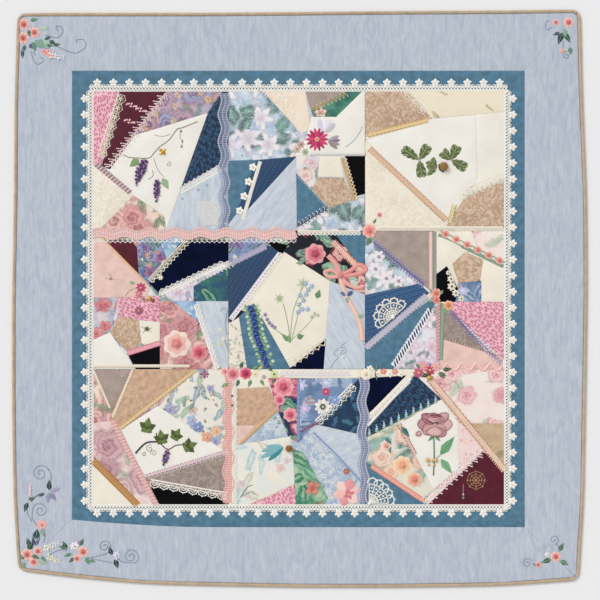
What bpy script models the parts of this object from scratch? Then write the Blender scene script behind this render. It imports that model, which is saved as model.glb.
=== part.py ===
"""A crazy-pieced quilt of nine blocks, laid out flat with its face up.

Metres. The origin is on the surface it lies on, under the middle of its outline. +X is the right-hand side and
+Y the top edge of the quilt as it is looked at, and +Z is its face.
"""

import math

import bmesh
import bpy

MM = 0.001
GAP = 0.3 * MM  # between one sewn piece and the next

# Sheet: cloth and wadding, sewn flat along the seams
SEAM_THICKNESS = 3.0 * MM
BLOCK_PUFF = 1.2 * MM  # how far the middle of a block stands above its seams
BLOCK_STEPS = 8  # rows and columns of faces on a block

# Seams round and between the nine blocks, left to right and bottom to top
BLOCK_SEAMS_X = (-308.8 * MM, -105.6 * MM, 96.8 * MM, 305.9 * MM)
BLOCK_SEAMS_Y = (-308.5 * MM, -104.6 * MM, 100.1 * MM, 310.0 * MM)

# Inner border: where its outer edge lies at each corner, and how far its lower left corner is drawn up
TEAL_OUT = {"left": 337.2 * MM, "right": 333.2 * MM, "top": 337.2 * MM, "bottom": 338.7 * MM}
TEAL_DRAWN_UP = 11.0 * MM
TEAL_DRAWN_WIDTH = 190.0 * MM
TEAL_STEPS = 16

# Outer border and its soft puckers: place, spread and rise
BORDER_STEPS_ACROSS = 4
PUCKERS = (
    # x, y, spread, rise
    (374 * MM, -338 * MM, 20 * MM, 1.3 * MM),
    (403 * MM, -352 * MM, 14 * MM, 0.9 * MM),
    (345 * MM, -371 * MM, 17 * MM, 0.8 * MM),
    (-377 * MM, 120 * MM, 32 * MM, 0.6 * MM),
    (60 * MM, -384 * MM, 38 * MM, 0.6 * MM),
    (392 * MM, 140 * MM, 34 * MM, 0.6 * MM),
)

# Piped edge: how far out it lies from the middle, at stations along each side, and its corners
EDGE_OUT = {
    "top": (
        (-400 * MM, 423.7 * MM),
        (-148 * MM, 423.7 * MM),
        (0 * MM, 424.9 * MM),
        (149 * MM, 426.4 * MM),
        (297 * MM, 427.1 * MM),
        (400 * MM, 428.7 * MM),
    ),
    "right": (
        (-400 * MM, 415.0 * MM),
        (-299 * MM, 421.5 * MM),
        (-151 * MM, 424.1 * MM),
        (-2 * MM, 426.7 * MM),
        (146 * MM, 426.1 * MM),
        (294 * MM, 419.7 * MM),
        (400 * MM, 417.2 * MM),
    ),
    "bottom": (
        (-405 * MM, 405.0 * MM),
        (-355 * MM, 411.5 * MM),
        (-296 * MM, 417.5 * MM),
        (-222 * MM, 424.3 * MM),
        (0 * MM, 428.7 * MM),
        (149 * MM, 428.6 * MM),
        (297 * MM, 426.4 * MM),
        (400 * MM, 419.0 * MM),
    ),
    "left": (
        (-400 * MM, 418.0 * MM),
        (-299 * MM, 424.6 * MM),
        (-150 * MM, 426.7 * MM),
        (-2 * MM, 426.7 * MM),
        (146 * MM, 423.7 * MM),
        (294 * MM, 423.0 * MM),
        (400 * MM, 419.5 * MM),
    ),
}
CORNER_RADIUS = 14.0 * MM
CORNER_STEPS = 4
SIDE_STEPS = 16
PIPING_RADIUS = 2.9 * MM
PIPING_SIDES = 8
PIPING_WIDTH = 5.6 * MM

# Daisy lace round the blocks
FIELD_OUT = {"left": 304.9 * MM, "right": 302.3 * MM, "top": 306.2 * MM, "bottom": 304.7 * MM}
LACE_WIDTH = 8.9 * MM
LACE_THICKNESS = 1.0 * MM
DAISIES_A_SIDE = 26
DAISY_FIRST = 299.7 * MM
DAISY_LAST = 296.0 * MM
DAISY_CENTRE_OUT = 3.6 * MM  # past the outer edge of the lace's band
DAISY_RADIUS = 5.9 * MM
DAISY_VALLEY = 2.7 * MM
DAISY_NECK = 1.7 * MM
PETALS = 5
PETAL_SPREAD = math.radians(52)

# Trims that lie on the blocks
TRIM_CLEARANCE = 0.35 * MM  # under a trim, over the cloth
TRIM_STEP = 22.0 * MM
SCALLOP_PITCH = 10.0 * MM
SCALLOP_DEPTH = 0.28  # of the width
TRIMS = (
    # name, x and y where it starts, x and y where it ends, width, thickness (mm), scalloped, material
    ("lace_rose_edged_1_1", -262, 302, -294, 208, 13.3, 1.0, True, "cream lace"),
    ("ribbon_ruched_1_1", -303, 200, -251, 157, 8.9, 1.6, False, "mauve ribbon"),
    ("lace_lilac_1_1", -113, 305, -113, 106, 12.6, 1.0, True, "lilac lace"),
    ("strip_daisy_1_2", -62, 202, -87, 122, 13.3, 1.0, True, "cream lace"),
    ("cord_lilac_1_2", 15, 214, 97, 214, 5.0, 1.8, False, "grey cord"),
    ("lace_rosette_upper_1_3", 152, 308, 187, 275, 13.3, 1.0, True, "cream lace"),
    ("braid_gold_1_3", 101, 242, 190, 264, 7.4, 1.2, False, "gold braid"),
    ("ribbon_tan_1_3", 103, 222, 217, 116, 8.9, 0.9, False, "tan ribbon"),
    ("lace_rosette_lower_1_3", 235, 151, 303, 180, 13.3, 1.0, True, "cream lace"),
    ("lace_seam_pink_2_1", -306, 93, -5, 93, 20.8, 1.0, True, "pink lace"),
    ("lace_olive_2_1", -167, 75, -222, 26, 11.9, 1.0, True, "olive lace"),
    ("lace_white_2_1", -207, 9, -113, 53, 8.9, 1.0, True, "cream lace"),
    ("braid_lilac_2_2", -101, 52, -50, 77, 8.9, 1.2, False, "lilac braid"),
    ("braid_white_2_2", -102, -31, -29, 67, 7.4, 1.2, False, "white braid"),
    ("lace_scallop_2_2", -17, -91, 38, -57, 10.4, 1.0, True, "cream lace"),
    ("braid_pink_2_2", 49, 84, 93, 39, 10.4, 1.4, False, "pink braid"),
    ("braid_lilac_2_3", 98, -73, 188, 4, 10.4, 1.2, False, "lilac braid"),
    ("braid_navy_2_3", 139, -100, 194, -16, 10.4, 1.2, False, "navy braid"),
    ("braid_pink_2_3", 205, -8, 205, -91, 8.9, 1.4, False, "pink braid"),
    ("ribbon_rose_2_3", 214, 91, 303, 49, 8.9, 1.2, False, "green ribbon"),
    ("cord_seam_3_1", -306, -100, -163, -100, 5.5, 2.0, False, "white cord"),
    ("lace_seam_3_2", -29, -110, 75, -110, 8.9, 1.0, True, "cream lace"),
    ("ribbon_rosebud_3_1", -278, -179, -212, -306, 11.9, 1.4, False, "pink ribbon"),
    ("ribbon_ochre_3_1", -306, -240, -240, -306, 10.4, 0.9, False, "ochre ribbon"),
    ("lace_scallop_3_1", -207, -275, -115, -292, 11.9, 1.0, True, "cream lace"),
    ("braid_pink_3_2", -105, -115, -105, -306, 12.6, 1.6, True, "pink braid"),
    ("lace_scallop_3_2", 82, -130, 27, -185, 13.3, 1.0, True, "cream lace"),
    ("lace_lilac_3_3", 95, -123, 95, -306, 11.9, 1.0, True, "lilac lace"),
    ("ribbon_tan_3_3", 192, -118, 304, -254, 11.9, 0.9, False, "tan ribbon"),
)

# Raised flowers: crochet, ribbon and cloth petals sewn on
FLOWERS = (
    # name, x, y, radius, rise at the middle (mm), petals, material
    ("flower_magenta_1_2", 25.7, 235.5, 16.5, 3.0, 8, "magenta petals"),
    ("rose_peach_2_3", 103.0, 100.0, 10.0, 4.5, 5, "peach ribbon"),
    ("rose_cream_3_3", 98.0, -111.0, 8.5, 4.0, 5, "cream ribbon"),
    ("flower_peach_3_2", 70.0, -286.5, 17.0, 3.2, 5, "peach petals"),
)
FLOWER_RIM = 1.0 * MM
FLOWER_VALLEY = 0.78  # of the radius

# Pieces of crochet doily, each a fan with a scalloped rim
DOILIES = (
    # name, x, y, radius (mm), from and to (degrees), scallops
    ("doily_2_3", 138.0, -27.5, 25.0, 41.0, 221.0, 9),
    ("doily_3_3", 103.0, -303.5, 34.0, 0.0, 90.0, 7),
)
DOILY_THICKNESS = 1.1 * MM

COLOURS = {
    # linear red, green, blue, then roughness
    "block cotton": (0.80, 0.74, 0.66, 0.85),
    "teal cotton": (0.078, 0.215, 0.319, 0.80),
    "watered silk": (0.474, 0.539, 0.631, 0.45),
    "piping satin": (0.497, 0.381, 0.270, 0.55),
    "cream lace": (0.863, 0.823, 0.738, 0.80),
    "lilac lace": (0.552, 0.527, 0.645, 0.75),
    "pink lace": (0.823, 0.407, 0.376, 0.75),
    "olive lace": (0.590, 0.552, 0.360, 0.75),
    "mauve ribbon": (0.330, 0.178, 0.250, 0.50),
    "tan ribbon": (0.401, 0.250, 0.150, 0.50),
    "ochre ribbon": (0.337, 0.160, 0.053, 0.50),
    "green ribbon": (0.130, 0.171, 0.098, 0.55),
    "pink ribbon": (0.631, 0.223, 0.262, 0.50),
    "gold braid": (0.479, 0.347, 0.150, 0.40),
    "lilac braid": (0.420, 0.380, 0.539, 0.65),
    "white braid": (0.791, 0.762, 0.716, 0.70),
    "pink braid": (0.791, 0.376, 0.418, 0.70),
    "navy braid": (0.052, 0.070, 0.147, 0.65),
    "grey cord": (0.402, 0.402, 0.479, 0.65),
    "white cord": (0.716, 0.672, 0.584, 0.65),
    "magenta petals": (0.407, 0.033, 0.162, 0.65),
    "peach petals": (0.863, 0.434, 0.342, 0.65),
    "peach ribbon": (0.831, 0.402, 0.287, 0.55),
    "cream ribbon": (0.831, 0.716, 0.546, 0.55),
}

SIDES = {
    # unit steps along the side and out from the middle
    "top": ((1, 0), (0, 1)),
    "right": ((0, 1), (1, 0)),
    "bottom": ((1, 0), (0, -1)),
    "left": ((0, 1), (-1, 0)),
}


def remove_everything():
    for scene_object in list(bpy.data.objects):
        bpy.data.objects.remove(scene_object, do_unlink=True)


def cloth_material(name):
    """A plain material of the cloth's own colour."""
    if name in bpy.data.materials:
        return bpy.data.materials[name]
    red, green, blue, roughness = COLOURS[name]
    material = bpy.data.materials.new(name)
    material.use_nodes = True
    shader = material.node_tree.nodes["Principled BSDF"]
    shader.inputs["Base Color"].default_value = (red, green, blue, 1.0)
    shader.inputs["Roughness"].default_value = roughness
    shader.inputs["Metallic"].default_value = 0.4 if name == "gold braid" else 0.0
    return material


def add_piece(name, bm, material_name):
    """One sewn piece, as an object of its own."""
    bmesh.ops.recalc_face_normals(bm, faces=bm.faces)
    mesh = bpy.data.meshes.new(name)
    bm.to_mesh(mesh)
    bm.free()
    mesh.shade_smooth()
    mesh.set_sharp_from_angle(angle=math.radians(35))
    mesh.materials.append(cloth_material(material_name))
    piece = bpy.data.objects.new(name, mesh)
    bpy.context.scene.collection.objects.link(piece)
    return piece


def across_block(value, seams):
    """0 on a seam, 1 half way between two seams."""
    for low, high in zip(seams, seams[1:]):
        if low <= value <= high:
            return 1.0 - ((2.0 * value - low - high) / (high - low)) ** 2
    return 0.0


def cloth_top(x, y):
    """Height of the quilt's face over the surface it lies on."""
    height = SEAM_THICKNESS + BLOCK_PUFF * across_block(x, BLOCK_SEAMS_X) * across_block(y, BLOCK_SEAMS_Y)
    for pucker_x, pucker_y, spread, rise in PUCKERS:
        away = ((x - pucker_x) ** 2 + (y - pucker_y) ** 2) / spread**2
        height += rise * math.exp(-away)
    return height


def floor_level(x, y):
    return 0.0


def over_cloth(lift):
    """A height that follows the quilt's face, this far above it."""
    return lambda x, y: cloth_top(x, y) + lift


def solid_from_outlines(outlines, bottom, top, flat_underside=False):
    """A closed solid over flat outlines that share whole edges, between two heights."""
    bm = bmesh.new()
    lower, upper = {}, {}

    def key(point):
        return round(point[0], 7), round(point[1], 7)

    outlines = [[key(point) for point in outline] for outline in outlines]
    edges = {pair for outline in outlines for pair in zip(outline, outline[1:] + outline[:1])}
    rim = {start: end for start, end in edges if (end, start) not in edges}
    for outline in outlines:
        for x, y in outline:
            if (x, y) not in upper:
                upper[x, y] = bm.verts.new((x, y, top(x, y)))
            if (x, y) not in lower and (not flat_underside or (x, y) in rim):
                lower[x, y] = bm.verts.new((x, y, bottom(x, y)))
        bm.faces.new([upper[point] for point in outline])
        if not flat_underside:
            bm.faces.new([lower[point] for point in reversed(outline)])
    for start, end in rim.items():
        bm.faces.new((lower[start], lower[end], upper[end], upper[start]))
    if flat_underside:
        walk = [next(iter(rim))]
        while rim[walk[-1]] != walk[0]:
            walk.append(rim[walk[-1]])
        bm.faces.new([lower[point] for point in reversed(walk)])
    return bm


def grid_outlines(rows):
    """The four-cornered outlines between neighbouring rows of points."""
    outlines = []
    for near, far in zip(rows, rows[1:]):
        for step in range(len(near) - 1):
            outlines.append([near[step], near[step + 1], far[step + 1], far[step]])
    return outlines


def between(first, last, share):
    return first + (last - first) * share


def on_side(side, along, out):
    """The point this far along a side and this far out from the middle."""
    (along_x, along_y), (out_x, out_y) = SIDES[side]
    return along * along_x + out * out_x, along * along_y + out * out_y


def edge_out(side, along):
    """How far out the piped edge lies, eased from station to station."""
    stations = EDGE_OUT[side]
    if along <= stations[0][0]:
        return stations[0][1]
    for (low, low_out), (high, high_out) in zip(stations, stations[1:]):
        if along <= high:
            return between(low_out, high_out, (along - low) / (high - low))
    return stations[-1][1]


def corner_centre(level_side, upright_side):
    """The centre of the rounded corner between two sides."""
    sign_x = SIDES[upright_side][1][0]
    sign_y = SIDES[level_side][1][1]
    x, y = sign_x * 400 * MM, sign_y * 400 * MM
    for _ in range(4):
        x = sign_x * (edge_out(upright_side, y) - CORNER_RADIUS)
        y = sign_y * (edge_out(level_side, x) - CORNER_RADIUS)
    return x, y


def edge_run(side, inset):
    """Points along one side, this far inside the piped edge, from the middle of one corner to the middle of the next."""
    level = side in ("top", "bottom")
    neighbours = ("left", "right") if level else ("bottom", "top")
    out_x, out_y = SIDES[side][1]
    facing = math.atan2(out_y, out_x)
    arcs = []
    for neighbour in neighbours:
        centre = corner_centre(side, neighbour) if level else corner_centre(neighbour, side)
        side_x, side_y = SIDES[neighbour][1]
        turn = math.atan2(side_y, side_x) - facing
        turn = (turn + math.pi) % (2 * math.pi) - math.pi
        radius = CORNER_RADIUS - inset
        arc = []
        for step in range(CORNER_STEPS // 2 + 1):
            angle = facing + turn * 0.5 * step / (CORNER_STEPS // 2)
            arc.append((centre[0] + radius * math.cos(angle), centre[1] + radius * math.sin(angle)))
        arcs.append((centre, arc))
    (first_centre, first_arc), (last_centre, last_arc) = arcs
    axis = 0 if level else 1
    points = first_arc[::-1]
    for step in range(1, SIDE_STEPS):
        along = between(first_centre[axis], last_centre[axis], step / SIDE_STEPS)
        points.append(on_side(side, along, edge_out(side, along) - inset))
    return points + last_arc


def shorten(points, amount):
    """Move a run's two ends towards each other."""
    for end, beside in ((0, 1), (-1, -2)):
        step_x = points[beside][0] - points[end][0]
        step_y = points[beside][1] - points[end][1]
        share = amount / math.hypot(step_x, step_y)
        points[end] = (points[end][0] + step_x * share, points[end][1] + step_y * share)
    return points


def teal_edge(side, steps, inset=0.0):
    """Points along the inner border's outer edge on one side, which is drawn up at the lower left."""

    def draw_up(x):
        share = min(1.0, (x + TEAL_OUT["left"]) / TEAL_DRAWN_WIDTH)
        return TEAL_DRAWN_UP * (1.0 - share) ** 1.5

    level = side in ("top", "bottom")
    low, high = ("left", "right") if level else ("bottom", "top")
    start, end = -TEAL_OUT[low] + inset, TEAL_OUT[high] - inset
    if side == "left":
        start += draw_up(-TEAL_OUT["left"])
    points = []
    for step in range(steps + 1):
        along = between(start, end, step / steps)
        out = TEAL_OUT[side] - inset
        if side == "bottom":
            out -= draw_up(max(along, -TEAL_OUT["left"]))
        points.append(on_side(side, along, out))
    return points


def strip_between(outer, inner, steps_across):
    """Rows of points from one run to another of as many points."""
    rows = []
    for step in range(steps_across + 1):
        share = step / steps_across
        rows.append([(between(a[0], b[0], share), between(a[1], b[1], share)) for a, b in zip(outer, inner)])
    return rows


def shares_along(points):
    """How far along a run each of its points lies, from 0 to 1."""
    lengths = [0.0]
    for first, last in zip(points, points[1:]):
        lengths.append(lengths[-1] + math.dist(first, last))
    return [length / lengths[-1] for length in lengths]


def place_along(points, shares):
    """Points on a run at these shares of its length."""
    own = shares_along(points)
    placed, index = [], 0
    for wanted in shares:
        while index < len(points) - 2 and own[index + 1] < wanted:
            index += 1
        share = (wanted - own[index]) / (own[index + 1] - own[index])
        first, last = points[index], points[index + 1]
        placed.append((between(first[0], last[0], share), between(first[1], last[1], share)))
    return placed


def make_blocks():
    """Nine pieced blocks, named by row from the top and column from the left."""
    for row in range(3):
        low_y, high_y = BLOCK_SEAMS_Y[2 - row] + GAP / 2, BLOCK_SEAMS_Y[3 - row] - GAP / 2
        for column in range(3):
            low_x, high_x = BLOCK_SEAMS_X[column] + GAP / 2, BLOCK_SEAMS_X[column + 1] - GAP / 2
            rows = []
            for up in range(BLOCK_STEPS + 1):
                y = between(low_y, high_y, up / BLOCK_STEPS)
                rows.append([(between(low_x, high_x, step / BLOCK_STEPS), y) for step in range(BLOCK_STEPS + 1)])
            bm = solid_from_outlines(grid_outlines(rows), floor_level, cloth_top, flat_underside=True)
            add_piece(f"block_{row + 1}_{column + 1}", bm, "block cotton")


def make_inner_border():
    """Four mitred strips round the blocks."""
    block_out = {
        "left": -BLOCK_SEAMS_X[0],
        "right": BLOCK_SEAMS_X[-1],
        "bottom": -BLOCK_SEAMS_Y[0],
        "top": BLOCK_SEAMS_Y[-1],
    }
    for side in SIDES:
        low, high = ("left", "right") if side in ("top", "bottom") else ("bottom", "top")
        inner = []
        for step in range(TEAL_STEPS + 1):
            along = between(-block_out[low], block_out[high], step / TEAL_STEPS)
            inner.append(on_side(side, along, block_out[side] + GAP / 2))
        outer = teal_edge(side, TEAL_STEPS, inset=GAP / 2)
        rows = strip_between(shorten(outer, GAP), shorten(inner, GAP), 1)
        bm = solid_from_outlines(grid_outlines(rows), floor_level, cloth_top, flat_underside=True)
        add_piece(f"border_inner_{side}", bm, "teal cotton")


def make_outer_border():
    """Four mitred strips of watered silk between the inner border and the piped edge."""
    for side in SIDES:
        outer = edge_run(side, PIPING_WIDTH + GAP)
        inner = place_along(teal_edge(side, TEAL_STEPS, inset=-GAP / 2), shares_along(outer))
        rows = strip_between(shorten(outer, GAP), shorten(inner, GAP), BORDER_STEPS_ACROSS)
        bm = solid_from_outlines(grid_outlines(rows), floor_level, cloth_top, flat_underside=True)
        add_piece(f"border_outer_{side}", bm, "watered silk")


def headings(path):
    """The direction of a run at each of its points, with its two ends turned as far as its corner's arc turns them."""

    def direction(first, last):
        return math.atan2(last[1] - first[1], last[0] - first[0])

    inside = [direction(before, after) for before, after in zip(path, path[2:])]
    start = 2 * direction(path[0], path[1]) - inside[0]
    end = 2 * direction(path[-2], path[-1]) - inside[-1]
    return [start] + inside + [end]


def make_piping():
    """A corded edge, one length to a side, lying on a flat of its covered cord."""
    half_side = math.pi / PIPING_SIDES
    flat = PIPING_RADIUS * math.cos(half_side)
    for side in SIDES:
        path = shorten(edge_run(side, PIPING_WIDTH / 2), GAP / 2)
        bm = bmesh.new()
        rings = []
        for (x, y), heading in zip(path, headings(path)):
            ring = []
            for corner in range(PIPING_SIDES):
                angle = half_side * (2 * corner + 1)
                across, up = flat * math.cos(angle), flat * math.sin(angle)
                level = flat * math.cos(half_side) + up
                ring.append(bm.verts.new((x - across * math.sin(heading), y + across * math.cos(heading), level)))
            rings.append(ring)
        bm.faces.new(rings[0])
        bm.faces.new(rings[-1])
        for near, far in zip(rings, rings[1:]):
            for corner in range(PIPING_SIDES):
                following = (corner + 1) % PIPING_SIDES
                bm.faces.new((near[corner], near[following], far[following], far[corner]))
        add_piece(f"piping_{side}", bm, "piping satin")


def daisy_outline(side, along, out):
    """A five-petalled daisy on its neck, as an outline from one end of the neck to the other."""
    points = [on_side(side, along + DAISY_NECK, out)]
    for petal in range(PETALS):
        angle = math.pi / 2 + PETAL_SPREAD * (petal - (PETALS - 1) / 2)
        tip = (DAISY_RADIUS * math.cos(angle), DAISY_RADIUS * math.sin(angle))
        points.append(on_side(side, along + tip[0], out + DAISY_CENTRE_OUT + tip[1]))
        if petal < PETALS - 1:
            angle += PETAL_SPREAD / 2
            valley = (DAISY_VALLEY * math.cos(angle), DAISY_VALLEY * math.sin(angle))
            points.append(on_side(side, along + valley[0], out + DAISY_CENTRE_OUT + valley[1]))
    points.append(on_side(side, along - DAISY_NECK, out))
    return points


def make_daisy_lace():
    """A band of lace round the blocks, one length to a side, edged with daisies."""
    pitch = (DAISY_FIRST + DAISY_LAST) / (DAISIES_A_SIDE - 1)
    for side in SIDES:
        low, high = ("left", "right") if side in ("top", "bottom") else ("bottom", "top")
        inner_out = FIELD_OUT[side]
        outer_out = inner_out + LACE_WIDTH
        cuts = [(-FIELD_OUT[low] + GAP / 2, -FIELD_OUT[low] - LACE_WIDTH + GAP / 2)]
        for step in range(1, DAISIES_A_SIDE):
            middle = -DAISY_FIRST + pitch * (step - 0.5)
            cuts.append((middle, middle))
        cuts.append((FIELD_OUT[high] - GAP / 2, FIELD_OUT[high] + LACE_WIDTH - GAP / 2))
        outlines = []
        for step in range(DAISIES_A_SIDE):
            (inner_low, outer_low), (inner_high, outer_high) = cuts[step], cuts[step + 1]
            daisy = daisy_outline(side, -DAISY_FIRST + pitch * step, outer_out)
            band = [on_side(side, inner_low, inner_out), on_side(side, inner_high, inner_out)]
            band += [on_side(side, outer_high, outer_out), daisy[0], daisy[-1], on_side(side, outer_low, outer_out)]
            outlines += [band, daisy]
        lift = TRIM_CLEARANCE
        bm = solid_from_outlines(outlines, over_cloth(lift), over_cloth(lift + LACE_THICKNESS))
        add_piece(f"lace_daisy_{side}", bm, "cream lace")


def keep_on_field(bm):
    """Cut off what would run under the daisy lace, and close the cut."""
    margin = GAP + 0.1 * MM
    for side, (_, out) in SIDES.items():
        reach = FIELD_OUT[side] - margin
        plane = {"plane_co": (out[0] * reach, out[1] * reach, 0.0), "plane_no": (out[0], out[1], 0.0)}
        geometry = bm.verts[:] + bm.edges[:] + bm.faces[:]
        cut = bmesh.ops.bisect_plane(bm, geom=geometry, dist=1e-6, clear_outer=True, **plane)
        edges = [item for item in cut["geom_cut"] if isinstance(item, bmesh.types.BMEdge)]
        if edges:
            bmesh.ops.contextual_create(bm, geom=edges)


def make_trims():
    """Lace, ribbon, braid and cord laid over the patches' seams."""
    for name, x0, y0, x1, y1, width, thickness, scalloped, material_name in TRIMS:
        start, end = (x0 * MM, y0 * MM), (x1 * MM, y1 * MM)
        length = math.dist(start, end)
        step_x, step_y = (end[0] - start[0]) / length, (end[1] - start[1]) / length
        pitch = SCALLOP_PITCH if scalloped else TRIM_STEP
        cells = max(2, round(length / pitch))
        steps = cells * 2 if scalloped else cells
        rows = [[], []]
        for step in range(steps + 1):
            along = length * step / steps
            left = width * MM / 2
            right = left
            if scalloped and step % 2 == 0:
                right -= width * MM * SCALLOP_DEPTH
            x, y = start[0] + step_x * along, start[1] + step_y * along
            rows[0].append((x + step_y * right, y - step_x * right))
            rows[1].append((x - step_y * left, y + step_x * left))
        lift = TRIM_CLEARANCE
        bm = solid_from_outlines(grid_outlines(rows), over_cloth(lift), over_cloth(lift + thickness * MM))
        keep_on_field(bm)
        add_piece(name, bm, material_name)


def make_flowers():
    """Flowers with a thin lobed rim and a raised middle."""
    for name, x, y, radius, rise, petals, material_name in FLOWERS:
        centre = (x * MM, y * MM)
        rim = []
        for step in range(petals * 3):
            angle = 2 * math.pi * step / (petals * 3)
            reach = radius * MM * (FLOWER_VALLEY if step % 3 == 0 else 1.0)
            rim.append((centre[0] + reach * math.cos(angle), centre[1] + reach * math.sin(angle)))
        outlines = [[centre, rim[step], rim[(step + 1) % len(rim)]] for step in range(len(rim))]

        def petal_top(px, py, middle=centre, high=rise * MM):
            raised = high if math.dist((px, py), middle) < GAP else FLOWER_RIM
            return cloth_top(px, py) + TRIM_CLEARANCE + raised

        bm = solid_from_outlines(outlines, over_cloth(TRIM_CLEARANCE), petal_top)
        add_piece(name, bm, material_name)


def make_doilies():
    """Two fans cut from a crochet doily."""
    for name, x, y, radius, first, last, scallops in DOILIES:
        centre = (x * MM, y * MM)
        rim = []
        for step in range(scallops * 2 + 1):
            angle = math.radians(between(first, last, step / (scallops * 2)))
            reach = radius * MM * (1.0 if step % 2 else 0.88)
            rim.append((centre[0] + reach * math.cos(angle), centre[1] + reach * math.sin(angle)))
        outlines = [[centre, rim[step], rim[step + 1]] for step in range(len(rim) - 1)]
        lift = TRIM_CLEARANCE
        bm = solid_from_outlines(outlines, over_cloth(lift), over_cloth(lift + DOILY_THICKNESS))
        add_piece(name, bm, "cream lace")


remove_everything()
make_blocks()
make_inner_border()
make_outer_border()
make_piping()
make_daisy_lace()
make_trims()
make_flowers()
make_doilies()
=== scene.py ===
import math

import bmesh
import bpy
import numpy as np
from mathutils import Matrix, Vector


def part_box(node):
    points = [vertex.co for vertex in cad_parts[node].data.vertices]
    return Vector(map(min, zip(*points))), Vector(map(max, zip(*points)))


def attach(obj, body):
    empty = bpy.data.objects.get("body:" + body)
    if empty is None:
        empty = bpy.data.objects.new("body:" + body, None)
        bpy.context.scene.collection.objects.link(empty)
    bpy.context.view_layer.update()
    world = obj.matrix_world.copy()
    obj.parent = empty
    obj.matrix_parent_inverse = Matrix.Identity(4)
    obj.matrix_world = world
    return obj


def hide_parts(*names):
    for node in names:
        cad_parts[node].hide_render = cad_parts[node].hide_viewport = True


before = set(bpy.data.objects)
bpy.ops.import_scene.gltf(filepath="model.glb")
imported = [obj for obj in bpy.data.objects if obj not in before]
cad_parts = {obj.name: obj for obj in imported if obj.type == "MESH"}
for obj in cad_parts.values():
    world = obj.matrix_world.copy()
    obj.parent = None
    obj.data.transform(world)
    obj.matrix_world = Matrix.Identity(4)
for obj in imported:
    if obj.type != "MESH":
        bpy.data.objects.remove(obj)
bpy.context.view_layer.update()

# Room: a plain pale floor, soft light from the upper left, and a camera straight above the quilt, which
# takes in the 890 mm that the photo shows from side to side.
MM = 0.001
PHOTO_WIDTH = 889.8 * MM
PHOTO_MIDDLE = (0.4 * MM, -2.2 * MM)
CAMERA_HEIGHT = 2.4
SENSOR = 36.0
FLOOR_HALF = 3.0
SKY_LIGHT = 0.66
SUN_LIGHT = 1.45
SUN_SPREAD = math.radians(22)
SUN_TILT = (math.radians(-32), math.radians(-38), 0.0)


def colour(text):
    """Linear red, green, blue and alpha of an sRGB hex colour."""
    channels = [int(text[place : place + 2], 16) / 255 for place in (1, 3, 5)]
    return tuple(c / 12.92 if c <= 0.04045 else ((c + 0.055) / 1.055) ** 2.4 for c in channels) + (1.0,)


def add_node(material, kind, inputs=None, stops=(), **settings):
    """A shader node with its settings. Its inputs are values or the sockets that feed them."""
    node = material.node_tree.nodes.new("ShaderNode" + kind)
    for name, value in settings.items():
        setattr(node, name, value)
    for name, value in (inputs or {}).items():
        if isinstance(value, bpy.types.NodeSocket):
            material.node_tree.links.new(value, node.inputs[name])
        else:
            node.inputs[name].default_value = value
    for index, (place, tone) in enumerate(stops):
        spots = node.color_ramp.elements
        spot = spots[index] if index < 2 else spots.new(place)
        spot.position, spot.color = place, tone
    return node


def add_object(name, mesh):
    piece = bpy.data.objects.new(name, mesh)
    bpy.context.scene.collection.objects.link(piece)
    return piece


def room():
    floor_mesh = bpy.data.meshes.new("floor")
    corners = [(x * FLOOR_HALF, y * FLOOR_HALF, 0.0) for x, y in ((-1, -1), (1, -1), (1, 1), (-1, 1))]
    floor_mesh.from_pydata(corners, [], [(0, 1, 2, 3)])
    paper = bpy.data.materials.new("pale_backdrop_paper")
    paper.use_nodes = True
    shader = paper.node_tree.nodes["Principled BSDF"]
    shader.inputs["Base Color"].default_value = colour("#EFEFF0")
    shader.inputs["Roughness"].default_value = 0.9
    floor_mesh.materials.append(paper)
    add_object("floor", floor_mesh)

    world = bpy.data.worlds.new("soft_room")
    world.use_nodes = True
    world.node_tree.nodes["Background"].inputs["Color"].default_value = colour("#FFFFFF")
    world.node_tree.nodes["Background"].inputs["Strength"].default_value = SKY_LIGHT
    bpy.context.scene.world = world
    sun = bpy.data.objects.new("window", bpy.data.lights.new("window", "SUN"))
    sun.data.energy = SUN_LIGHT
    sun.data.angle = SUN_SPREAD
    sun.rotation_euler = SUN_TILT
    bpy.context.scene.collection.objects.link(sun)

    camera = bpy.data.objects.new("camera", bpy.data.cameras.new("camera"))
    camera.data.sensor_width = SENSOR
    camera.data.lens = SENSOR * CAMERA_HEIGHT / PHOTO_WIDTH
    camera.location = (*PHOTO_MIDDLE, CAMERA_HEIGHT)
    bpy.context.scene.collection.objects.link(camera)
    bpy.context.scene.camera = camera
    bpy.context.scene.view_settings.view_transform = "Standard"


room()

# Foundation: each block is sewn on a square of unbleached muslin over thin wadding. It is the CAD block
# itself, which shows on the underside and at the edges, in a plain matt weave with slubs.
BLOCKS = [(row, column) for row in (1, 2, 3) for column in (1, 2, 3)]
SEAM_THICKNESS = 3.0 * MM
PUCKERS = (
    # x, y, spread and rise in mm
    (374, -338, 20, 1.3), (403, -352, 14, 0.9), (345, -371, 17, 0.8),
    (-377, 120, 32, 0.6), (60, -384, 38, 0.6), (392, 140, 34, 0.6),
)
WAVE_PERIOD = 0.31416  # of a Wave texture whose scale is 1
FINE_THREAD = 0.9 * MM
MERGE_DISTANCE = 1e-6


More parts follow.
